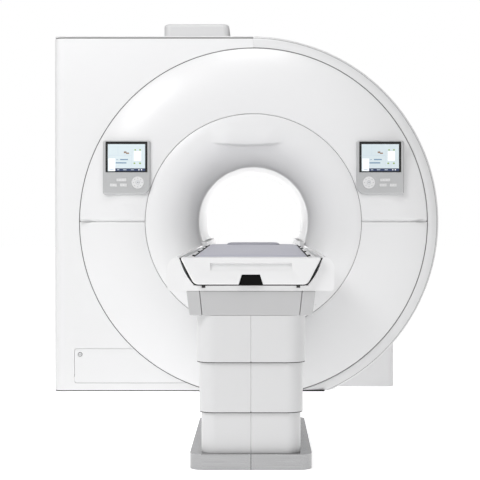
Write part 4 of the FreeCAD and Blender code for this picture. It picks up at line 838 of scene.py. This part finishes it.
def close_cushion(shape, layers, across, along):
    """Faces over the top and bottom grids of a cushion, and round its edge."""
    for top, grid in layers.items():
        for j in range(along):
            for i in range(across):
                quad = (grid[j][i], grid[j][i + 1], grid[j + 1][i + 1], grid[j + 1][i])
                shape.faces.new(quad if top else quad[::-1])
    upper, lower = layers[True], layers[False]
    border = [(0, i) for i in range(across)] + [(j, across) for j in range(along)]
    border += [(along, i) for i in range(across, 0, -1)] + [(j, 0) for j in range(along, 0, -1)]
    for (j, i), (k, m) in zip(border, border[1:] + border[:1]):
        shape.faces.new((upper[j][i], lower[j][i], lower[k][m], upper[k][m]))


def pad():
    """Thin foam mat with a crowned top and sewn channels."""
    low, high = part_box("cradle_pad")
    length = high.y - low.y
    across, along = 28, 200
    thick, crown_rise, edge_roll = 0.0085, 0.002, 0.007
    channel_depth, channel_width, border = 0.0022, 0.004, 0.022
    shape = bmesh.new()
    layers = {}
    for top in (True, False):
        grid = []
        for j in range(along + 1):
            v = j / along
            y = low.y + length * v
            half = 0.232 + 0.02 * v
            row = []
            for i in range(across + 1):
                u = -1 + 2 * i / across
                u = math.copysign(abs(u) ** 0.8, u)
                edge = min((1 - abs(u)) * half, (y - low.y), (high.y - y))
                roll = math.sqrt(max(0, 1 - (1 - min(edge / edge_roll, 1)) ** 2))
                distances = [y - low.y - part * length for part in (0.2, 0.4, 0.6, 0.8)]
                distances.append(abs(u) * half - half + border)
                channel = sum(math.exp(-(distance / channel_width) ** 2) for distance in distances)
                lift = thick * (0.35 + 0.65 * roll) + crown_rise * (1 - u * u) * roll
                lift -= channel_depth * min(channel, 1)
                row.append(shape.verts.new((u * half, y, low.z + (lift if top else 0))))
            grid.append(row)
        layers[top] = grid
    close_cushion(shape, layers, across, along)
    piece = own(raw("mat", shape), "pad_vinyl", body="cradle", replaces=("cradle_pad",), sharp=60)


def head_cushion():
    """Low cushion at the head end of the mat."""
    low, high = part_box("cradle_pad")
    shape = bmesh.new()
    half_x, length, thick, count = 0.15, 0.25, 0.011, 36
    grids = {}
    for top in (True, False):
        grid = []
        for j in range(count + 1):
            row = []
            for i in range(count + 1):
                u, v = -1 + 2 * i / count, -1 + 2 * j / count
                round_off = (abs(u) ** 6 + abs(v) ** 6) ** (1 / 6)
                squeeze = max(abs(u), abs(v)) / round_off if round_off > 0 else 1
                x, y = u * squeeze * half_x, v * squeeze * length / 2
                edge = 1 - max(abs(u), abs(v))
                puff = math.sqrt(max(0, 1 - (1 - min(edge / 0.22, 1)) ** 2))
                z = high.z + 0.0018 + (0.003 + (thick - 0.003) * puff if top else 0)
                row.append(shape.verts.new((x, high.y - 0.15 + y, z)))
            grid.append(row)
        grids[top] = grid
    close_cushion(shape, grids, count, count)
    piece = own(raw("head_cushion", shape), "pad_dark", body="cradle", sharp=60)


def foot_cap():
    """End cap of the cradle: raked flanks, a finger grip and the notch of the release handle."""
    low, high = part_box("foot_cap")
    half, foot = high.x, 0.230
    outline = rounded([(-foot, low.z), (foot, low.z), (half, high.z), (-half, high.z)],
                      {0: 0.03, 1: 0.03, 2: 0.006, 3: 0.006}, 10)
    cap = raw("cap", prism(bmesh.new(), outline, "XZ", low.y, high.y))
    soften(cap, 0.006, 4, 40)
    notch = [(-0.050, low.z - 0.02), (0.050, low.z - 0.02), (0.050, low.z), (0.037, low.z + 0.041),
             (-0.037, low.z + 0.041), (-0.050, low.z)]
    grip = [(low.y - 0.02, 0.843), (low.y, 0.843), (low.y + 0.013, 0.8395), (low.y + 0.013, 0.836),
            (low.y, 0.809), (low.y - 0.02, 0.809)]
    carve(cap, raw("notch_tool", prism(bmesh.new(), notch, "XZ", low.y - 0.1, low.y + 0.075)),
          raw("grip_tool", prism(bmesh.new(), grip, "YZ", -0.165, 0.165)))
    own(soften(cap, 0.0012, 2, 40), "table_white", body="cradle", replaces=("foot_cap",))
    # A dark strip just outside the cap's flanks and foot, behind its front, is painted shadow in the gap
    # round the cap.
    edges = []
    for grow in (0.0054, 0.0012):
        corners = [(-foot - grow, low.z - grow), (foot + grow, low.z - grow), (half + grow, high.z - 0.003),
                   (-half - grow, high.z - 0.003)]
        edges.append(rounded(corners, {0: 0.03 + grow, 1: 0.03 + grow}, 10))
    outer, inner = edges
    seal = raw("cap_gap_shadow", prism(bmesh.new(), outer, "XZ", -3.4915, -3.4815))
    lifted = [(x, z if z < high.z - 0.01 else z + 0.05) for x, z in inner]
    carve(seal, raw("cap_gap_shadow_tool", prism(bmesh.new(), lifted, "XZ", -3.6, -3.4)))
    own(seal, "seal_and_shade_dark", body="table_top")


def cradle_shade_lines_and_anchors():
    """Dark lines of painted shadow beside the mat, and the anchors for the straps."""
    low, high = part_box("cradle_pad")
    shape = bmesh.new()
    for side in (1, -1):
        # The lines along the mat's sides are painted shadow in the gap beside it.
        line = [(side * 0.2325, low.y), (side * 0.2375, low.y), (side * 0.2575, high.y),
                (side * 0.2525, high.y)]
        prism(shape, line, "XY", low.z - 0.0006, low.z + 0.0055)
        for y in (-3.15, -2.45, -1.75, -1.25):
            share = (y - low.y) / (high.y - low.y)
            x = side * (0.2475 + 0.0185 * share)
            slot = rounded(box_outline(x - 0.0045, y - 0.03, x + 0.0045, y + 0.03), 0.004, 4)
            prism(shape, slot, "XY", low.z - 0.0006, low.z + 0.004)
    own(raw("mat_shade_lines_and_anchors", shape), "seal_and_shade_dark", body="cradle")


def turret():
    """Cover on the deck, over the cold head."""
    low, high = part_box("turret_cover")
    outline = rounded(box_outline(low.x, low.y, high.x, high.y), 0.045, 8)
    box = raw("turret_shell", prism(bmesh.new(), outline, "XY", low.z, high.z))
    own(soften(box, 0.018, 5, 50), "cover_white", replaces=("turret_cover",))


column()
base()
neck()
foot_cap()
pad()
head_cushion()
cradle_shade_lines_and_anchors()
turret()


# ------------------------------------------------------------------ floor, light

def make_floor():
    size = 40
    mesh = bpy.data.meshes.new("floor")
    mesh.from_pydata([(-size, -size, 0), (size, -size, 0), (size, size, 0), (-size, size, 0)], [],
                     [(0, 1, 2, 3)])
    floor = bpy.data.objects.new("floor", mesh)
    scene.collection.objects.link(floor)
    mesh.materials.append(finish("floor_pale", grey(0.85), 0.7, Emission_Strength=0.72,
                                 Emission_Color=grey(1.0)))


def area_light(name, place, aim, size, power):
    data = bpy.data.lights.new(name, "AREA")
    data.shape, data.size, data.size_y = "RECTANGLE", size[0], size[1]
    data.energy = power
    light = bpy.data.objects.new(name, data)
    scene.collection.objects.link(light)
    light.location = place
    light.rotation_euler = (Vector(aim) - Vector(place)).to_track_quat("-Z", "Y").to_euler()


def make_light():
    """White backdrop; the light comes mostly from the front, the left and above."""
    world = bpy.data.worlds.new("studio")
    scene.world = world
    world.use_nodes = True
    graph = Graph(world.node_tree)
    seen = graph.add("ShaderNodeLightPath").outputs["Is Camera Ray"]
    way = graph.add("ShaderNodeTexCoord").outputs["Generated"]
    toward = graph.add("ShaderNodeVectorMath", {"operation": "DOT_PRODUCT"})
    graph.feed(toward.inputs[0], way)
    toward.inputs[1].default_value = Vector((-0.35, -0.80, 0.50)).normalized()
    level = graph.ramp(toward.outputs["Value"], -0.2, 0.95, 0.26, 0.50)
    sky = graph.add("ShaderNodeBackground", Color=grey(1.0), Strength=level)
    backdrop = graph.add("ShaderNodeBackground", Color=grey(1.0), Strength=1.0)
    both = graph.add("ShaderNodeMixShader")
    for socket, value in zip(both.inputs, (seen, sky.outputs[0], backdrop.outputs[0])):
        graph.feed(socket, value)
    graph.add("ShaderNodeOutputWorld", Surface=both.outputs[0])
    area_light("key", (-3.6, -6.4, 5.0), (0, -0.6, 1.0), (2.0, 2.0), 165)
    area_light("fill", (3.5, -8.0, 1.6), (0, -0.8, 1.0), (2.5, 2.5), 14)
    area_light("crown", (0.0, -3.4, 5.2), (-0.4, 0.2, 2.2), (1.6, 1.0), 52)
    area_light("bore_end", (0.0, 2.6, 1.0), (0, 0, 1.0), (0.7, 0.7), 7)


make_floor()
make_light()
scene.view_settings.view_transform = "Standard"
